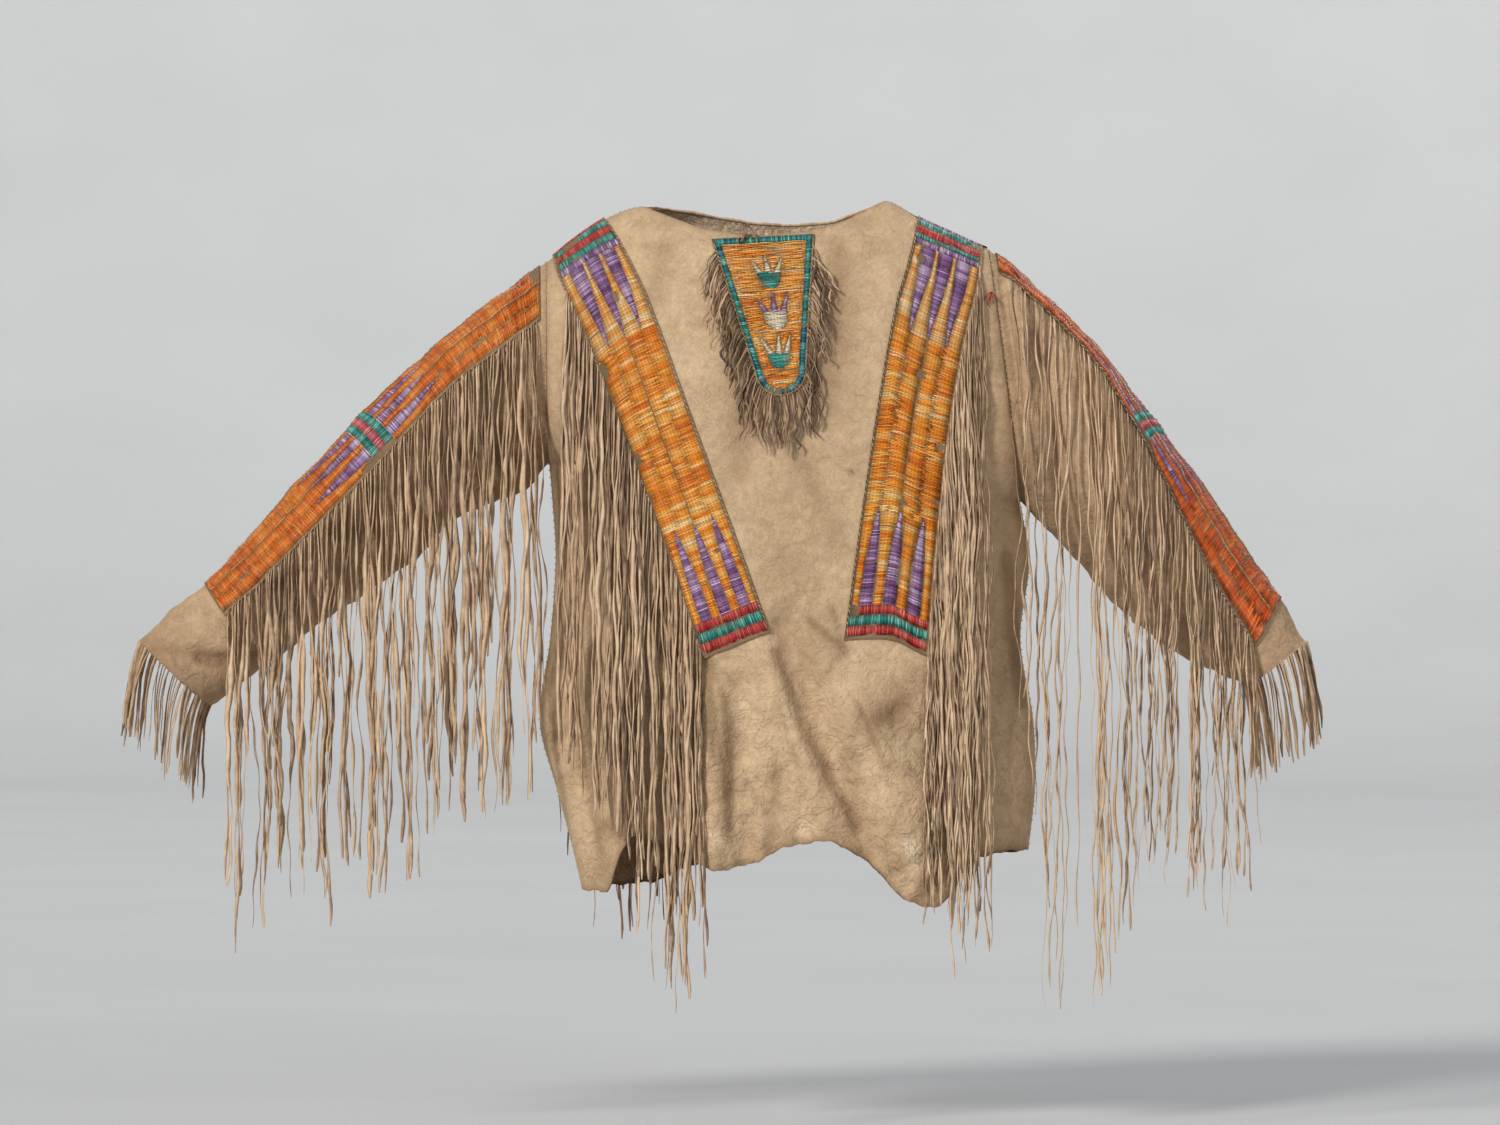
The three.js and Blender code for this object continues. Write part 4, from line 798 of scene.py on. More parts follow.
class Strip:
    """A strip's surface, with how far it runs in mm and how wide it is"""

    def __init__(self, surface, bare_spots):
        self.surface = surface
        middle = surface.points[:, surface.points.shape[1] // 2]
        steps = np.linalg.norm(np.diff(middle, axis=0), axis=1)
        self.run = np.r_[0, np.cumsum(steps)]
        self.long = self.run[-1]
        self.shares = np.linspace(0, 1, len(self.run))
        widths = np.linalg.norm(surface.points[:, -1] - surface.points[:, 0], axis=1)
        self.wide = float(np.median(widths))
        self.inside = self.wide - 2 * STRIP_BORDER
        self.bare_spots = bare_spots

    def u(self, run):
        return float(np.interp(run, self.run, self.shares))

    def v(self, across):
        return across / self.wide

    def left_of(self, run, a, b):
        """What is left of a quill from a to b across where the work is worn through"""
        pieces = [] if rng.random() < 0.004 else [(a, b)]
        for at, side, long, wide in self.bare_spots:
            inside = 1 - ((run - at) / long) ** 2
            if inside <= 0:
                continue
            centre = self.wide * side
            reach = self.wide * wide * math.sqrt(inside) * rng.uniform(0.65, 1.25)
            rest = []
            for c, d in pieces:
                rest += [(c, min(d, centre - reach)), (max(c, centre + reach), d)]
            pieces = [(c, d) for c, d in rest if d - c > 1.2]
        return pieces

    def bar(self, low, high, dye, seed, left=0.0):
        """A cross bar: quills that run along the strip, side by side across it from the left share"""
        made = []
        across = STRIP_BORDER + self.inside * left
        while across < STRIP_BORDER + self.inside:
            if self.left_of((low + high) / 2, across - 0.9, across + 0.9):
                made.append((self.u(low + 0.2), self.v(across), self.u(high - 0.2),
                             self.v(across + rng.normal(0, 0.4)), 0.0,
                             self.v(QUILL_PITCH * rng.uniform(0.42, 0.52)), rng.uniform(0.8, 1.2),
                             dyed(dye, slow(across * 6, seed) * 0.7)))
            across += QUILL_PITCH
        return made

    def spiked(self, base, tip, seed, ground, full=0.22, centres=(0.225, 0.5, 0.775), power=1.8):
        """Rows with three tapering spikes, full at base and gone at tip"""
        made = []
        for run in np.arange(min(base, tip), max(base, tip), QUILL_PITCH):
            t = abs(run - base) / abs(tip - base)
            half = self.inside * full / 2 * (1 - t**power)
            lanes, edge = [], STRIP_BORDER
            for centre in centres:
                at = STRIP_BORDER + self.inside * centre + 2.0 * (t - 0.5)
                lanes.append((edge, at - half, ground))
                lanes.append((at - half, at + half, "purple"))
                edge = at + half
            lanes.append((edge, self.wide - STRIP_BORDER, ground))
            made += lane_quills(self, run, lanes, seed)
        return made

    def field(self, low, high, seed, ground):
        """Plain rows in two halves, parted by a seam"""
        made = []
        middle = self.wide / 2
        for run in np.arange(low, high, QUILL_PITCH):
            lanes = [(STRIP_BORDER, middle - 0.5, ground), (middle + 0.5, self.wide - STRIP_BORDER, ground)]
            made += lane_quills(self, run, lanes, seed)
        return made


def quill_finish(name):
    """Flattened dyed quills: satin, streaked, banded along and paler where the dye has worn"""
    made, add, shade, where = new_finish(name)
    # The dye attribute holds each quill's colour with painted shade at its sides and ends.
    dye = add("Attribute", attribute_name="dye").outputs["Color"]
    band = add("Attribute", attribute_name="band").outputs["Fac"]
    streak = add("TexNoise", Vector=where, Scale=900.0, Detail=4.0, Roughness=0.7)
    streaked = add("MapRange", Value=streak, From_Min=0.25, From_Max=0.75, To_Min=0.72, To_Max=1.5)
    angle = add("Math", band, 2 * math.pi, operation="MULTIPLY")
    wave = add("Math", angle, operation="SINE")
    banded = add("Math", wave, 0.13, streaked, operation="MULTIPLY_ADD")
    tinted = add("VectorMath", dye, operation="SCALE", Scale=banded)
    worn = add("TexNoise", Vector=where, Scale=160.0, Detail=5.0, Roughness=0.7)
    bare = add("MapRange", Value=worn, From_Min=0.58, From_Max=0.78, To_Max=0.55)
    faded = add("Mix", data_type="RGBA", Factor=bare, A=tinted, B=(*straight(FADED), 1))
    ridge = add("Bump", Strength=0.35, Distance=0.0006, Height=streak)
    shade(Base_Color=faded, Normal=ridge, Roughness=0.36, Specular_IOR_Level=0.6)
    return made


FADED = (236, 206, 160)
quilled = quill_finish("dyed quills")
backing_hide = hide_finish("strip backing", (168, 142, 112), (138, 114, 88), (104, 84, 62))
BARE_SPOTS = {  # where along the strip in mm, where across, how long and how wide it is worn bare
    "left": [(574, 0.68, 6.5, 0.17), (455, 0.42, 7, 0.04), (386, 0.93, 12, 0.05), (210, 0.96, 8, 0.04),
             (262, 0.94, 8, 0.05), (118, 0.30, 3, 0.05), (700, 0.4, 8, 0.08), (900, 0.8, 9, 0.06)],
    "right": [(36, 0.04, 8, 0.08), (330, 0.5, 6, 0.05), (250, 0.9, 6, 0.06), (470, 0.16, 6, 0.05),
              (760, 0.6, 8, 0.07), (960, 0.2, 9, 0.06)],
}


def lay_quillwork(name, ground, rows, columns, soil_and_painted_light, worked, quills, wide, rests_on, **whole_cut):
    """The band of hide on its ground, the quills sewn over it, and what both stand for"""
    u = np.linspace(0, 1, rows)[:, None]
    v = np.linspace(0, 1, columns)[None]
    band = wall(name + "_backing", ground.at(u, v, LIE + BACKING), ground.at(u, v, LIE))
    write(band, "soil_and_painted_light", np.full(len(band.data.vertices), soil_and_painted_light))
    band.data.materials.append(backing_hide)
    work = quill_mesh(name + "_quills", worked, quills, wide / BAND_WIDE)
    work.data.materials.append(quilled)
    fit(band, "hide", name)
    fit(work, "quill")


def edge_to_edge(rows, key, at, inner, outer):
    """From one edge's column of a table to the other's, in thirteen steps across"""
    share = np.linspace(0, 1, 13)[None]
    return read(rows, key, inner, at) * (1 - share) + read(rows, key, outer, at) * share


SPIKE = 120.0
LOW_BARS = [("red", 4, 17), ("teal", 17, 30), ("red", 30, 43)]
LOW_SPIKES = (0.175, (0.19, 0.5, 0.81), 3.0)
strips = {}
for side, rows in SHOULDER_STRIPS.items():
    half = np.linspace(0, 1, 121) ** 1.55
    station = np.concatenate([half[::-1], -half[1:]])[:, None]
    reach = np.abs(station)
    x = edge_to_edge(rows, "station", reach, "innerX", "outerX")
    z = shoulder_z(x) - edge_to_edge(rows, "station", reach, "innerDrop", "outerDrop")
    y = np.where(station >= 0, body_skin(-1, x, z), body_skin(1, x, z))
    ground = np.stack([x, y, z], -1)
    strip = Strip(Surface(ground, ground - np.stack([x, 0 * y, 0 * z - 300], -1)), BARE_SPOTS[side])
    seam = strip.long / 2
    high_bars = [("purple", seam - 64, seam - 52), ("teal", seam - 52, seam - 40),
                 ("red", seam - 40, seam - 26), ("teal", seam - 26, seam - 13),
                 ("red" if side == "left" else "purple", seam - 13, seam - 1)]
    low_base, high_base = LOW_BARS[-1][2], seam - 64
    quills = []
    for toward, seed in ((1, 1.0), (-1, 5.0)):  # the front half, then the back half
        def place(*runs, toward=toward):
            return [run if toward > 0 else strip.long - run for run in runs]
        for dye, a, b in LOW_BARS + high_bars:
            quills += strip.bar(*sorted(place(a, b)), dye, seed + a)
        quills += strip.spiked(*place(low_base, low_base + SPIKE), seed, "orange", *LOW_SPIKES)
        quills += strip.spiked(*place(high_base, high_base - SPIKE), seed + 1, "amber")
        quills += strip.field(*sorted(place(low_base + SPIKE, high_base - SPIKE)), seed, "orange")
    strips[side + "_shoulder_strip"] = strip
    lay_quillwork(side + "_shoulder_strip", strip.surface, 200, 9, 0.25, strip.surface, quills, strip.wide,
                  ["front_hide", "back_hide"], flat=(0.086, 1.17))

SLEEVE_DYES = {"left": "bright", "right": "deep"}
SLEEVE_SPIKES = {"left": (0.18, (0.21, 0.5, 0.79), 2.2), "right": (0.13, (0.24, 0.52, 0.80), 4.0)}
SLEEVE_BARE_SPOTS = [(5, 0.8, 9, 0.3), (300, 0.05, 24, 0.08)]
for side, rows in SLEEVE_STRIPS.items():
    section = np.linspace(rows["section"][0], rows["section"][-1], 150)[:, None]
    turn = np.mod(edge_to_edge(rows, "section", section, "lower", "upper"), 360) / 360
    ground = sleeves[side].at(turn, section / SECTIONS)
    outward = sleeves[side].at(turn, section / SECTIONS, 5.0) - ground
    strip = Strip(squared(Surface(ground, outward)), SLEEVE_BARE_SPOTS)
    middle = strip.long * 0.5
    dye, spikes = SLEEVE_DYES[side], SLEEVE_SPIKES[side]
    quills = strip.field(2, middle - 110, 3.0, dye)
    quills += strip.spiked(middle - 18, middle - 110, 4.0, dye, *spikes)
    for bar_dye, a in (("teal", -18), ("pink", -6), ("teal", 6)):
        quills += strip.bar(middle + a, middle + a + 12, bar_dye, 5.0 + a, 0.08)
    quills += strip.spiked(middle + 18, middle + 112, 6.0, dye, *spikes)
    quills += strip.field(middle + 112, strip.long - 3, 7.0, dye)
    strips[side + "_sleeve_strip"] = strip
    lay_quillwork(side + "_sleeve_strip", strip.surface, 130, 9, 0.3, strip.surface, quills, strip.wide,
                  [side + "_sleeve"], flat=(0.075, 0.60))


# The bib: a tongue of hide that hangs from the front of the neck, quilled in rows across it. A teal
# border runs round it, with three small fans one above the other on its orange ground.
BIB = {"topX": 1, "topZ": -44, "tipX": 27, "tipZ": -240, "topHalf": 63, "endHalf": 31, "straight": 0.84}
BIB_LEVEL = 0.085  # how far the top edge is turned level against the bib's own lean
BIB_BORDER = 8.0
BIB_PITCH = 1.6
FLANK = 0.36
FANS = table("aX aZ bX bZ cX cZ leftX rightX topZ bottomX bottomZ", [
    (-15, -74, 2.5, -66, 24, -69, -7, 23, -90, 11, -109),
    (-8, -120, 11, -111, 31, -111, 1, 31, -139, 19, -160),
    (-5, -166, 20, -161, 35, -163, 7, 34, -190, 21, -208),
])
FAN_DYES = (("cream", "teal"), ("purple", "cream"), ("cream", "teal"))
bib_axis = np.array([BIB["tipX"] - BIB["topX"], BIB["tipZ"] - BIB["topZ"]], float)
bib_long = math.hypot(*bib_axis)
bib_down = bib_axis / bib_long
bib_right = np.array([-bib_down[1], bib_down[0]])


def bib_edge(share, beyond=0.0):
    """Down the bib's left side, round its end and up its right side: how far down and across"""
    share = np.asarray(share, float)
    straight_run = bib_long * BIB["straight"]
    run = np.clip(np.minimum(share, 1 - share) / FLANK, 0, 1)
    side = np.where(share < 0.5, -1, 1)
    turn = math.pi * np.clip((share - FLANK) / (1 - 2 * FLANK), 0, 1)
    on_flank = (share < FLANK) | (share > 1 - FLANK)
    deep = straight_run + (bib_long - straight_run + beyond) * np.sin(turn)
    wide = BIB["topHalf"] + (BIB["endHalf"] - BIB["topHalf"]) * run + beyond
    return (np.where(on_flank, run * straight_run, deep),
            np.where(on_flank, side * wide, -(BIB["endHalf"] + beyond) * np.cos(turn)))


def bib_place(down, across):
    """Where a spot of the bib is, from its place down and across"""
    level = BIB_LEVEL * across * np.clip(1 - down / bib_long, 0, 1)
    return (BIB["topX"] + bib_down[0] * down + bib_right[0] * across,
            BIB["topZ"] + bib_down[1] * down + bib_right[1] * across - level)


def bib_dye(x, z):
    """The dye that the pattern has at one spot"""
    for fan, (spike, base) in zip(zip(*FANS.values()), FAN_DYES):
        ax, az, bx, bz, cx, cz, left, right, top, bottom_x, bottom_z = fan
        if left <= x <= right and z <= top + 1:
            middle = (left + right) / 2 + (bottom_x - (left + right) / 2) * (top - z) / (top - bottom_z)
            half = (right - left) / 2 * math.sqrt(max(0.0, 1 - ((top - z) / (top - bottom_z)) ** 2))
            if abs(x - middle) <= half:
                return base
        third = (right - left) / 3
        for place, (tip_x, tip_z) in enumerate(((ax, az), (bx, bz), (cx, cz))):
            if top < z < tip_z:
                share = (tip_z - z) / (tip_z - top)
                middle = tip_x + (left + third * (place + 0.5) - tip_x) * share
                if abs(x - middle) <= third * 0.52 * share:
                    return spike
    return "orange"


def on_front(x, z):
    """The front hide's own surface under a grid of spots"""
    return Surface(np.stack([x, body_skin(-1, x, z), z], -1), np.array([0, -1, 0.2]))


share = np.linspace(0, 0.485, 60)[None]
across = np.linspace(0, 1, 25)[:, None]
left_deep, left_side = bib_edge(share, 1.4)
right_deep, right_side = bib_edge(1 - share, 1.4)
bib_ground = on_front(*bib_place(
    left_deep + (right_deep - left_deep) * across, left_side + (right_side - left_side) * across
))
SPAN_DOWN, SPAN_ACROSS = 206.0, 140.0
bib_surface = on_front(*bib_place(
    np.linspace(0, SPAN_DOWN, 70)[:, None], np.linspace(-SPAN_ACROSS / 2, SPAN_ACROSS / 2, 50)[None]
))


def on_bib(down, across):
    """The shares of the bib's surface at a spot down and across"""
    return down / SPAN_DOWN, across / SPAN_ACROSS + 0.5


def bib_quill(start, end, half, high, dye):
    """One quill between two spots of the bib, with its half width down and across"""
    return (*on_bib(*start), *on_bib(*end), half[0] / SPAN_DOWN, half[1] / SPAN_ACROSS, high, dye)


EDGE_PITCH = 1.75
EDGE_HALF = 0.86
outline_down, outline_across = bib_edge(np.linspace(0, 1, 721), -BIB_BORDER)
round_end = slice(260, 361)  # the outline from the left flank's foot to the tip
quills = []
for down in np.arange(BIB_BORDER + 0.6, bib_long - BIB_BORDER, BIB_PITCH):
    if down < bib_long * BIB["straight"]:
        half = np.abs(outline_across[outline_down >= down - 0.9]).max()
    else:
        half = np.interp(down, outline_down[round_end], np.abs(outline_across[round_end]))
    spots = np.arange(-half, half, 0.8)
    kinds = [bib_dye(*bib_place(down, spot)) for spot in spots]
    first = 0
    seams = rng.uniform(-half, half, max(1, round(half / 22)))
    for k in range(1, len(spots) + 1):
        if k < len(spots) and kinds[k] == kinds[first]:
            crossed = np.any((seams > spots[k - 1]) & (seams <= spots[k]))
            if kinds[first] != "orange" or not crossed:
                continue
        a, b = spots[first] + 0.15, spots[k - 1] + 0.7
        patch = slow(down * 2 + 9 * first, 3.0)
        kind = kinds[first]
        if kind == "orange" and rng.random() < 0.30 + 0.2 * patch:
            kind = "straw" if rng.random() < 0.5 else "amber"
        if b - a > 1.0 and rng.random() > 0.015:
            quills.append(bib_quill((down + rng.normal(0, 0.3), a), (down + rng.normal(0, 0.3), b),
                                    (BIB_PITCH * rng.uniform(0.42, 0.52), 0.0), rng.uniform(0.75, 1.2),
                                    dyed(kind, 0.4 * patch)))
        first = k
border = np.linspace(0, 1, 2000)
edge_down, edge_across = bib_edge(border, -0.9)
run = np.r_[0, np.cumsum(np.hypot(np.diff(edge_down), np.diff(edge_across)))]
for at in np.arange(1.2, run[-1] - 1, EDGE_PITCH):
    share = float(np.interp(at, run, border))
    step = np.subtract(bib_edge(min(share + 0.002, 1), -0.9), bib_edge(max(share - 0.002, 0), -0.9))
    step *= EDGE_HALF / max(np.hypot(*step), 1e-6)
    kind = "blue" if slow(at, 0.7) + 0.9 * (abs(share - 0.62) < 0.14) > 0.35 else "teal"
    if rng.random() < 0.03 or 0.43 < share < 0.57 and rng.random() < 0.45:
        continue
    quills.append(bib_quill(bib_edge(share, -0.9), bib_edge(share, -BIB_BORDER - 0.4), step,
                            rng.uniform(0.9, 1.25), dyed(kind, slow(at * 5, 2.0) * 0.8)))
for across in np.arange(-BIB["topHalf"] + 7, BIB["topHalf"] - 6, EDGE_PITCH):
    kind = "blue" if slow(across * 3, 1.0) > 0.4 else "teal"
    quills.append(bib_quill((0.4, across + rng.normal(0, 0.2)), (BIB_BORDER + 0.2, across), (0.0, EDGE_HALF),
                            rng.uniform(0.9, 1.25), dyed(kind, slow(across * 9, 2.0) * 0.8)))
lay_quillwork("bib", bib_ground, 25, 60, 0.3, bib_surface, quills, SPAN_ACROSS, ["front_hide"],
              flat=(0.13, 0.2), area=0.021)


# The fringes: strips of hide cut into thongs of 3 to 7 mm, laced into the edges of the quilled
# strips, and the sleeves' own ends cut the same way. They hang plumb in front of whatever they
# lie on, twist as they dried, and gather here and there into bunches.
CELL = 4.0
MAP_X = np.arange(-808, 728, CELL)
MAP_Z = np.arange(-1012, 24, CELL)
ENDS = {
    "left sleeve": table("x z", [
        (-700, -560), (-655, -850), (-640, -885), (-585, -840), (-550, -855), (-515, -815), (-469, -830),
        (-421, -805), (-395, -745), (-350, -715), (-300, -700), (-270, -620),
    ]),
    "right sleeve": table("x z", [
        (300, -620), (340, -800), (362, -965), (420, -940), (450, -880), (500, -790), (545, -850),
        (590, -840), (620, -730),
    ]),
    "left chest": table("x z", [
        (-266, -640), (-200, -730), (-160, -780), (-138, -920), (-100, -985), (-70, -930),
    ]),
    "right chest": table("x z", [(206, -860), (255, -930), (285, -880), (315, -790)]),
    "back": table("x z", [(-266, -880), (-160, -880), (-70, -850), (206, -840), (315, -870)]),
}


def stand_out(face):
    """A map of how far the hides stand out to the front or the back, very low where there is none"""
    reach = np.full((len(MAP_X), len(MAP_Z)), -999.0)
    even = np.linspace(0, 1, 520)
    for surface in (hides[face], *sleeves.values()):
        spots = surface.at(even[:, None], even[None]).reshape(-1, 3)
        i = ((spots[:, 0] - MAP_X[0]) / CELL).round().astype(int)
        j = ((spots[:, 2] - MAP_Z[0]) / CELL).round().astype(int)
        np.maximum.at(reach, (i, j), face * spots[:, 1])
    grown = reach.copy()
    for i, j in ((0, 1), (1, 0), (0, -1), (-1, 0)):
        grown = np.maximum(grown, np.roll(reach, (i, j), (0, 1)))
    return grown


stands = {face: stand_out(face) for face in (-1, 1)}


def thong_tree():
    """Geometry nodes that turn lines with a width and a facing at each point into flat thongs"""
    tree = bpy.data.node_groups.new("cut thongs", "GeometryNodeTree")
    for name, kind in (("Lines", "Geometry"), ("Flatness", "Float"), ("Sides", "Int"), ("Hide", "Material")):
        tree.interface.new_socket(name, in_out="INPUT", socket_type="NodeSocket" + kind)
    tree.interface.new_socket("Thongs", in_out="OUTPUT", socket_type="NodeSocketGeometry")
    add, give = node_maker(tree, "GeometryNode")
    given = tree.nodes.new("NodeGroupInput").outputs
    curves = add("MeshToCurve", Mesh=given["Lines"])
    facing = add("InputNamedAttribute", data_type="FLOAT_VECTOR", Name="facing")
    turned = add("SetCurveNormal", mode="FREE", Curve=curves, Normal=facing)
    wide = add("InputNamedAttribute", data_type="FLOAT", Name="width")
    ring = add("CurvePrimitiveCircle", Resolution=given["Sides"], Radius=0.5)
    shape = give(tree.nodes.new("ShaderNodeCombineXYZ"), 1.0, given["Flatness"], 1.0)
    flat = add("Transform", Geometry=ring, Scale=shape)
    swept = add("CurveToMesh", Curve=turned, Profile_Curve=flat, Scale=wide, Fill_Caps=True)
    smooth = add("SetShadeSmooth", Geometry=swept)
    whole = add("RealizeInstances", Geometry=smooth)
    dressed = add("SetMaterial", Geometry=whole, Material=given["Hide"])
    give(tree.nodes.new("NodeGroupOutput"), Thongs=dressed)
    return tree


thong_nodes = thong_tree()


def cut(name, lines, width, facing, tone, material, flatness, sides=4):
    """Thongs along lines, in millimetres: width, facing and tone as numbers for each point"""
    count, steps = lines.shape[:2]
    ids = np.arange(count * steps).reshape(count, steps)
    edges = np.stack([ids[:, :-1], ids[:, 1:]], -1).reshape(-1, 2)
    base = bpy.data.meshes.new(name + " lines")
    base.from_pydata((lines.reshape(-1, 3) * 0.001).tolist(), edges.tolist(), [])
    holder = bpy.data.objects.new(name + " lines", base)
    bpy.context.collection.objects.link(holder)
    along = np.gradient(lines, axis=1)
    along /= np.maximum(np.linalg.norm(along, axis=2, keepdims=True), 1e-9)
    facing = np.broadcast_to(facing, lines.shape)
    square = facing - along * (facing * along).sum(2, keepdims=True)
    square /= np.maximum(np.linalg.norm(square, axis=2, keepdims=True), 1e-9)
    write(holder, "width", np.ravel(width) * 0.001)
    write(holder, "tone", np.broadcast_to(tone, (count, steps)))
    base.attributes.new("facing", "FLOAT_VECTOR", "POINT").data.foreach_set("vector", np.ravel(square))
    maker = holder.modifiers.new("cut", "NODES")
    maker.node_group = thong_nodes
    given = {"Flatness": flatness, "Sides": sides, "Hide": material}
    for item in thong_nodes.interface.items_tree:
        if item.name in given:
            maker[item.identifier] = given[item.name]
    ready = holder.evaluated_get(bpy.context.evaluated_depsgraph_get())
    mesh = bpy.data.meshes.new_from_object(ready)
    mesh.name = name
    bpy.data.objects.remove(holder)
    bpy.data.meshes.remove(base)
    made = bpy.data.objects.new(name, mesh)
    bpy.context.collection.objects.link(made)
    return made


def thong_finish(name, light, mid, dark):
    """Cut hide: matt, streaked along, its tone a little different from thong to thong"""
    made, add, shade, where = new_finish(name)
    drawn_out = add("Mapping", where, Scale=(1.0, 1.0, 0.22))
    streak = add("TexNoise", Vector=drawn_out, Scale=210.0, Detail=5.0, Roughness=0.7)
    mottle = add("TexNoise", Vector=where, Scale=60.0, Detail=5.0, Roughness=0.65)
    tone = add("Attribute", attribute_name="tone").outputs["Fac"]
    grain = add("Math", streak, 0.9, -0.85, operation="MULTIPLY_ADD")
    patch = add("Math", mottle, 0.8, grain, operation="MULTIPLY_ADD")
    level = add("Math", tone, patch, operation="ADD")
    nap = add("Bump", Strength=0.5, Distance=0.0008, Height=streak)
    shade(Base_Color=three_tones(add, level, 0.38, dark, mid, light), Normal=nap, Roughness=0.86,
          Specular_IOR_Level=0.25, Sheen_Weight=0.15)
    return made


def waves(count, at, low, high, size):
    """A wave of its own for each of many lines, at distances along them"""
    long = rng.uniform(low, high, (count, 1))
    high_by = size * rng.uniform(0.4, 1.3, (count, 1))
    return high_by * np.sin(2 * math.pi * (at / long + rng.random((count, 1))))


HANG_STEP = 13.0
LOOSE_BELOW = 90.0  # how far below its root a thong moves freely
BUNCHED_BELOW = 260.0
NEW_BUNCH = 0.24  # how likely each next thong is to start a bunch


def hang(face, root, end, lean, sway, bunch, twist, layers=3):
    """Lines that fall from their roots in front of the hides, with their facings"""
    count = len(root)
    steps = int(np.abs(root[:, 2] - end).max() / HANG_STEP) + 2
    share = np.linspace(0, 1, steps)[None] ** 1.15
    fallen = share * (root[:, 2] - end)[:, None]
    group = np.cumsum(rng.random(count) < NEW_BUNCH)
    centre = np.array([root[group == g, 0].mean() for g in group])
    group_lean = rng.normal(0, 5.0 * sway, group.max() + 1)[group]
    loose = np.clip(fallen / LOOSE_BELOW, 0, 1)
    x = root[:, :1] + lean[:, None] * (1 - np.exp(-2.5 * share))
    x = x + (centre - root[:, 0])[:, None] * bunch * np.clip(fallen / BUNCHED_BELOW, 0, 1)
    x = x + group_lean[:, None] * share
    x = x + loose * sway * (waves(count, fallen, 150, 340, 2.8) + waves(count, fallen, 55, 110, 1.0))
    x = x + sway * rng.normal(0, 3.4, (count, 1)) * share
    z = root[:, 2:] - fallen
    i = np.clip(((x - MAP_X[0]) / CELL).round().astype(int), 0, len(MAP_X) - 1)
    j = np.clip(((z - MAP_Z[0]) / CELL).round().astype(int), 0, len(MAP_Z) - 1)
    layer = 1.0 + 1.9 * (np.arange(count) % layers) + rng.uniform(0, 1.6, count)
    need = stands[face][i, j] + layer[:, None] * np.clip(fallen / 12, 0, 1)
    first = face * root[:, 1]
    out = np.maximum.accumulate(np.maximum(need, first[:, None]), axis=1)
    for _ in range(3):
        soft = out.copy()
        soft[:, 1:-1] = 0.25 * out[:, :-2] + 0.5 * out[:, 1:-1] + 0.25 * out[:, 2:]
        out = np.maximum(soft, need)
    out = out + loose * sway * np.abs(waves(count, fallen, 90, 260, 2.2))
    out[:, 0] = first
    turn = np.radians(rng.normal(0, 14, (count, 1)) + loose * (
        rng.normal(0, twist, (count, 1)) * share * 2 + waves(count, fallen, 90, 240, 34)))
    facing = np.stack([np.sin(turn), face * np.cos(turn), 0.15 * np.ones_like(turn)], -1)
    return np.stack([x, face * out, z], -1), facing


fringe_hide = thong_finish("cut thongs", (224, 195, 160), (188, 158, 126), (118, 91, 68))
# Painted shade: the back's thongs, which hang behind the shirt, get a darker copy of the thong finish.
shaded_back_fringe = thong_finish("shaded back thongs", (186, 153, 120), (142, 113, 87), (88, 66, 49))
lock_hide = thong_finish("curled locks", (204, 172, 138), (160, 129, 101), (92, 70, 52))


def fringe(name, nodes, lines, wide, facing, material, flatness=0.3, spread=0.16, tone=0.5):
    """A row of thongs, each of its own width and tone and narrower towards its tip"""
    count, steps = lines.shape[:2]
    width = wide * rng.uniform(0.66, 1.32, (count, 1)) * (1.12 - 0.42 * np.linspace(0, 1, steps)[None])
    width = width * (1 + rng.normal(0, 0.12, (count, steps)))
    width[:, -1] *= 0.45
    tone = tone + rng.normal(0, spread, (count, 1)) + rng.normal(0, 0.04, (count, steps))
    fit(cut(name, lines, width, facing, tone, material, flatness), "thong", *nodes)


def spread_roots(count, low, high):
    """Uneven places from 0 to 1 for a row of roots, one in each equal part"""
    return (np.arange(count) + rng.uniform(low, high, count)) / count


BACK_COUNT = 70
LONG_FROM = 830.0  # only some of the chest's thongs end lower than this
CHEST_CUTS = (  # side, outward, how many, how wide, lean at the top, where it starts, sway, twist
    ("left", -1, 104, 5.4, 5.0, 0.135, 1.1, 90), ("right", 1, 92, 3.9, 13.0, 0.10, 1.35, 220),
)
for side, outward, chest_count, wide, lean, begin, sway, twist in CHEST_CUTS:
    strip = strips[side + "_shoulder_strip"]
    for face, count in ((-1, chest_count), (1, BACK_COUNT)):
        down = begin + (0.99 - begin) * spread_roots(count, 0.2, 0.8)
        run = strip.long / 2 * (1 + face * down)
        root = strip.surface.at(np.interp(run, strip.run, strip.shares), 0.985, LIE * 0.5)
        outline = ENDS[side + " chest" if face < 0 else "back"]
        leaning = outward * lean * (1 - down)
        end = read(outline, "x", "z", root[:, 0] + leaning) + rng.uniform(-46, 70, count)
        if face > 0:
            end += np.where(rng.random(count) < 0.8, rng.uniform(40, 150, count), 0)
        else:
            low = np.clip((-end - LONG_FROM) / 60, 0, 1)
            end += np.where(rng.random(count) < 0.72, rng.uniform(30, 120, count), 0) * low
        end = np.minimum(end, root[:, 2] - 120)
        lines, facing = hang(face, root, end, leaning * rng.uniform(0.2, 1.5, count), sway, 0.6, twist, 4)
        if face < 0:
            nodes = [side + "_chest_fringe_under", side + "_chest_fringe_over"]
            fringe(side + "_chest_thongs", nodes, lines, wide, facing, fringe_hide, spread=0.2)
        else:
            nodes = [side + "_back_fringe"]
            fringe(side + "_back_thongs", nodes, lines, wide, facing, shaded_back_fringe, spread=0.2)

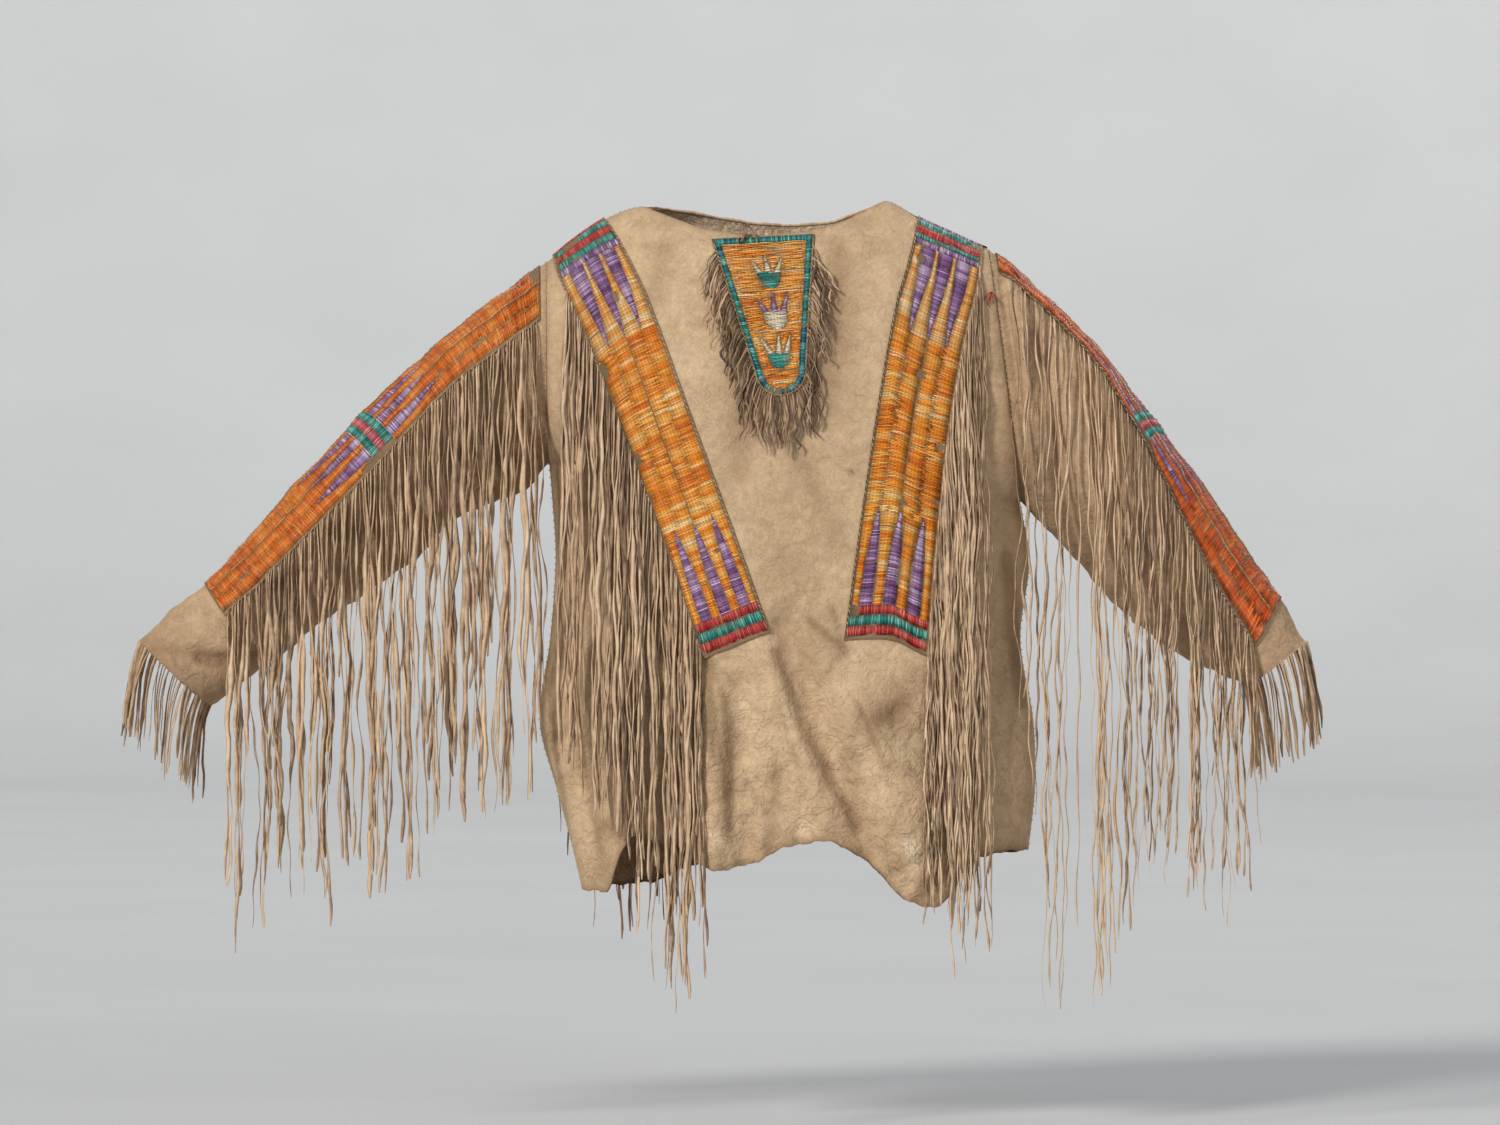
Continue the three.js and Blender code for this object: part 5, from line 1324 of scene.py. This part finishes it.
SLEEVE_CUTS = (  # side, how many, how wide, how bunched, twist, sway, how flat, how crowded low down
    ("left", 104, 6.8, 0.5, 60, 1.1, 0.2, 1.0), ("right", 84, 3.8, 0.6, 170, 1.3, 0.3, 0.72),
)
for side, count, wide, bunch, twist, sway, flatness, crowded in SLEEVE_CUTS:
    strip = strips[side + "_sleeve_strip"]
    run = strip.long * (0.008 + 0.985 * spread_roots(count, 0.15, 0.85) ** crowded)
    root = strip.surface.at(np.interp(run, strip.run, strip.shares), 0.012, LIE * 0.5)
    root = root[np.argsort(root[:, 0])]
    end = read(ENDS[side + " sleeve"], "x", "z", root[:, 0]) + rng.uniform(-48, 50, count)
    end += np.where(rng.random(count) < 0.35, rng.uniform(30, 190, count), 0)
    end = np.minimum(end, root[:, 2] - 90)
    lines, facing = hang(-1, root, end, rng.normal(0, 5, count), sway, bunch, twist)
    fringe(side + "_sleeve_thongs", [side + "_sleeve_fringe"], lines, wide, facing, fringe_hide, flatness)

CUFF_COUNT = 46
CUFF_STEPS = 9
CUFF_WIDE = 5.8
CUFF_TONES = {"left": 0.36, "right": 0.52}
for side, outward in (("left", -1), ("right", 1)):
    ends = {key: column[-1] - column[-2] for key, column in SLEEVES[side].items()}
    along = np.array([ends["topX"] + ends["lowX"], 0.0, ends["topZ"] + ends["lowZ"]])
    along /= np.linalg.norm(along)
    spots = spread_roots(CUFF_COUNT, 0.2, 0.8)
    root = sleeves[side].at(spots, 1.0, -HIDE / 2)
    radial = sleeves[side].at(spots, 1.0, 10.0) - sleeves[side].at(spots, 1.0, 0.0)
    radial /= np.linalg.norm(radial, axis=1, keepdims=True)
    share = np.linspace(0, 1, CUFF_STEPS)[None]
    length = rng.uniform(84, 120, (CUFF_COUNT, 1))
    lines = root[:, None] + along * (14 - 15 * np.exp(-4 * share))[..., None]
    lines[..., 2] -= length * share**1.1
    lines[..., 0] += outward * rng.uniform(2, 12, (CUFF_COUNT, 1)) * share
    lines[..., 0] += rng.normal(0, 5, (CUFF_COUNT, 1)) * share
    lines[..., 1] += rng.normal(0, 4, (CUFF_COUNT, 1)) * share
    lines[..., 0] += waves(CUFF_COUNT, length * share, 40, 90, 1.3) * share
    turn = (rng.normal(0, 0.9, (CUFF_COUNT, 1)) * share)[..., None]
    facing = radial[:, None] * np.cos(turn) + np.cross(radial, along)[:, None] * np.sin(turn)
    fringe(side + "_cuff_thongs", [side + "_cuff_fringe"], lines, CUFF_WIDE, facing, fringe_hide,
           tone=CUFF_TONES[side])

LOCKS = 118
LOCK_STEPS = 13
LOCK_WIDE = 3.7
share = 0.03 + 0.94 * spread_roots(LOCKS, 0.1, 0.9)
x, z = bib_place(*bib_edge(share, 0.2))
away_x, away_z = bib_place(*bib_edge(share, 10.0))
root = np.stack([x, body_skin(-1, x, z) - LIE * 0.6, z], -1)
flank = np.abs(share - 0.5) / 0.5
length = (62 - 10 * flank + rng.uniform(-12, 10, LOCKS))[:, None]
s = np.linspace(0, 1, LOCK_STEPS)[None]
push = 1 - np.exp(-5 * s)
x = root[:, :1] + (away_x - x)[:, None] * push + rng.normal(0, 6, (LOCKS, 1)) * s
x = x + (share - 0.5)[:, None] * rng.uniform(0, 34, (LOCKS, 1)) * s
x = x + s * (waves(LOCKS, length * s, 22, 42, 3.6) + waves(LOCKS, length * s, 60, 90, 3.5))
z = root[:, 2:] + (away_z - z)[:, None] * push * 0.7 - length * s
layer = rng.uniform(0.6, 8.5, (LOCKS, 1)) * np.clip(s * 5, 0, 1)
out = -body_skin(-1, x, z) + LIE + layer + np.abs(waves(LOCKS, length * s, 26, 60, 2.4)) * s
out[:, 0] = -root[:, 1]
turn = rng.normal(0, 0.5, (LOCKS, 1)) + rng.normal(0, 1.6, (LOCKS, 1)) * s
facing = np.stack([np.sin(turn), -np.cos(turn), 0 * turn], -1)
fringe("bib_locks", ["bib_fringe"], np.stack([x, -out, z], -1), LOCK_WIDE, facing, lock_hide, 0.32, 0.28, 0.4)


# The sewing and small things: sinew stitches along the strips, the bib and the seams, a worn tab of
# hide knotted at the neck, the neck's rolled edge, and a tuft of red wool by the right armhole.
SINEW = 0.9
thread_finish = thong_finish("sinew", (226, 206, 170), (196, 172, 136), (140, 114, 84))
wool_finish = thong_finish("red wool", (196, 52, 48), (146, 30, 34), (84, 18, 22))


def stitches(points, outward, every, long, slant, rise=1.1):
    """Short arched stitches along a line of points, as lines and facings"""
    steps = np.linalg.norm(np.diff(points, axis=0), axis=1)
    run = np.r_[0, np.cumsum(steps)]
    at = np.arange(every / 2, run[-1] - long, every)
    at = at + rng.normal(0, every * 0.12, len(at))

    def spot(where, rows):
        return np.stack([np.interp(where, run, rows[:, k]) for k in range(3)], -1)

    start, end = spot(at, points), spot(at + long, points)
    out = spot(at + long / 2, outward)
    out /= np.linalg.norm(out, axis=1, keepdims=True)
    aside = np.cross(out, end - start)
    aside /= np.maximum(np.linalg.norm(aside, axis=1, keepdims=True), 1e-9)
    start, end = start - aside * slant, end + aside * slant
    arch = ((0.0, -0.4), (0.2, rise * 0.8), (0.8, rise * 0.8), (1.0, -0.4))
    lines = np.stack([start * (1 - share) + end * share + out * high for share, high in arch], 1)
    return lines, np.repeat(out[:, None], 4, axis=1)


def stitched(surface, u, v, out, *way):
    """Stitches along a line on a surface"""
    line = surface.at(u, v, out)
    return stitches(line, surface.at(u, v, out + 5.0) - line, *way)


def sew(name, rows):
    """Rows of stitches made one piece of sewing"""
    lines, facing = (np.concatenate(part) for part in zip(*rows))
    tone = 0.55 + rng.normal(0, 0.16, (len(lines), 1))
    fit(cut(name, lines, np.full(lines.shape[:2], SINEW), facing, tone, thread_finish, 0.8), "thong")


for name, strip in strips.items():
    u = np.linspace(0.004, 0.996, 300)
    rows = [stitched(strip.surface, u, v, LIE + BACKING, 7.5, 4.2, 0.9) for v in (0.012, 0.988)]
    if "sleeve" in name:
        rows.append(stitched(strip.surface, u, 0.5, LIE + BACKING + 0.7, 6.2, 6.0, 0.1, 0.6))
    sew(name + "_sewing", rows)

edge = on_bib(*bib_edge(np.linspace(0.005, 0.995, 400), 0.3))
sew("bib_sewing", [stitched(bib_surface, *edge, LIE + BACKING, 6.5, 3.6, 0.8)])

seams = []
for x_from, x_to in ((-262, -154), (158, 276)):
    x = np.linspace(x_from, x_to, 60)
    line = np.stack([x, 0 * x, shoulder_z(x) + 0.2], -1)
    seams.append(stitches(line, np.broadcast_to([0.0, 0.0, 1.0], line.shape), 6.5, 1.0, 3.4))
for side, outward, foot in (("left", -1.0, -836), ("right", 1.0, -800)):
    z = np.linspace(ARMHOLE[side]["lowZ"] - 4, foot, 160)
    line = np.stack([side_x(side, z) + outward * 0.2, 0 * z, z], -1)
    seams.append(stitches(line, np.broadcast_to([outward, 0.0, 0.0], line.shape), 9.0, 1.0, 3.2))
    seams.append(stitched(sleeves[side], np.linspace(0, 1, 200), 0.004, 0.4, 7.0, 3.4, 1.0))
sew("seam_sewing", seams)

TAB_STEPS = 16
TAB_BENDS = (  # four points in x and z, how wide, how far out
    (((-26, -50), (-23, -42), (-20, -34), (-18, -28)), 12.0, 3.0),
    (((-31, -50), (-27, -38), (-20, -27), (-16, -31)), 4.0, 5.5),
    (((-19, -27), (-13, -34), (-8, -42), (-6, -50)), 4.6, 5.5),
)
lines = []
for bend, _, out in TAB_BENDS:
    x, z = (np.interp(np.linspace(0, 3, TAB_STEPS), range(4), column) for column in zip(*bend))
    y = body_skin(-1, x, np.minimum(z, -41)) - out - 3.0 * np.sin(np.linspace(0, math.pi, TAB_STEPS))
    line = np.stack([x, y, z], -1)
    for _ in range(3):
        line[1:-1] = 0.25 * line[:-2] + 0.5 * line[1:-1] + 0.25 * line[2:]
    lines.append(line)
wide = np.array([[row[1]] * TAB_STEPS for row in TAB_BENDS])
fit(cut("neck_tab", np.stack(lines), wide, np.array([0.3, -1.0, 0.5]), 0.24, fringe_hide, 0.30, 6), "thong")

edge = hides[1].points[:, 0]
edge = edge[read(NECK, "x", "back", edge[:, 0]) > 0.6]
roll = np.sin(edge[:, 0] * 0.13) * 0.5 + np.sin(edge[:, 0] * 0.41) * 0.3
edge = edge + np.stack([0 * roll, -1.0 + 0 * roll, roll], -1)
number = np.arange(len(edge))
wide = (4.6 + roll * 1.4) * np.clip(np.minimum(number, number[::-1]) / 6 + 0.3, 0, 1)
fit(cut("neck_roll", edge[None], wide, np.array([0.0, -1.0, 0.3]), 0.5, fringe_hide, 0.85, 8), "thong")

STRANDS = 12
STRAND_WIDE = 0.9
TUFT = (285.0, -111.0)
s = np.linspace(0, 1, 7)[None]
spread = rng.normal(0, 1, (STRANDS, 2))
lines = np.stack(np.broadcast_arrays(
    TUFT[0] + spread[:, :1] * 6 * s + 2 * s,
    float(body_skin(-1, TUFT[0] - 8, TUFT[1])) - 1.0 - 7 * np.sin(s * 2.2),
    TUFT[1] + (spread[:, 1:] * 6 - 7) * s - 6 * s**2,
), -1)
tone = 0.5 + rng.normal(0, 0.2, (STRANDS, 1))
fit(cut("red_tuft", lines, np.full(lines.shape[:2], STRAND_WIDE), np.array([0, -1, 0.2]), tone,
        wool_finish, 0.8), "thong")
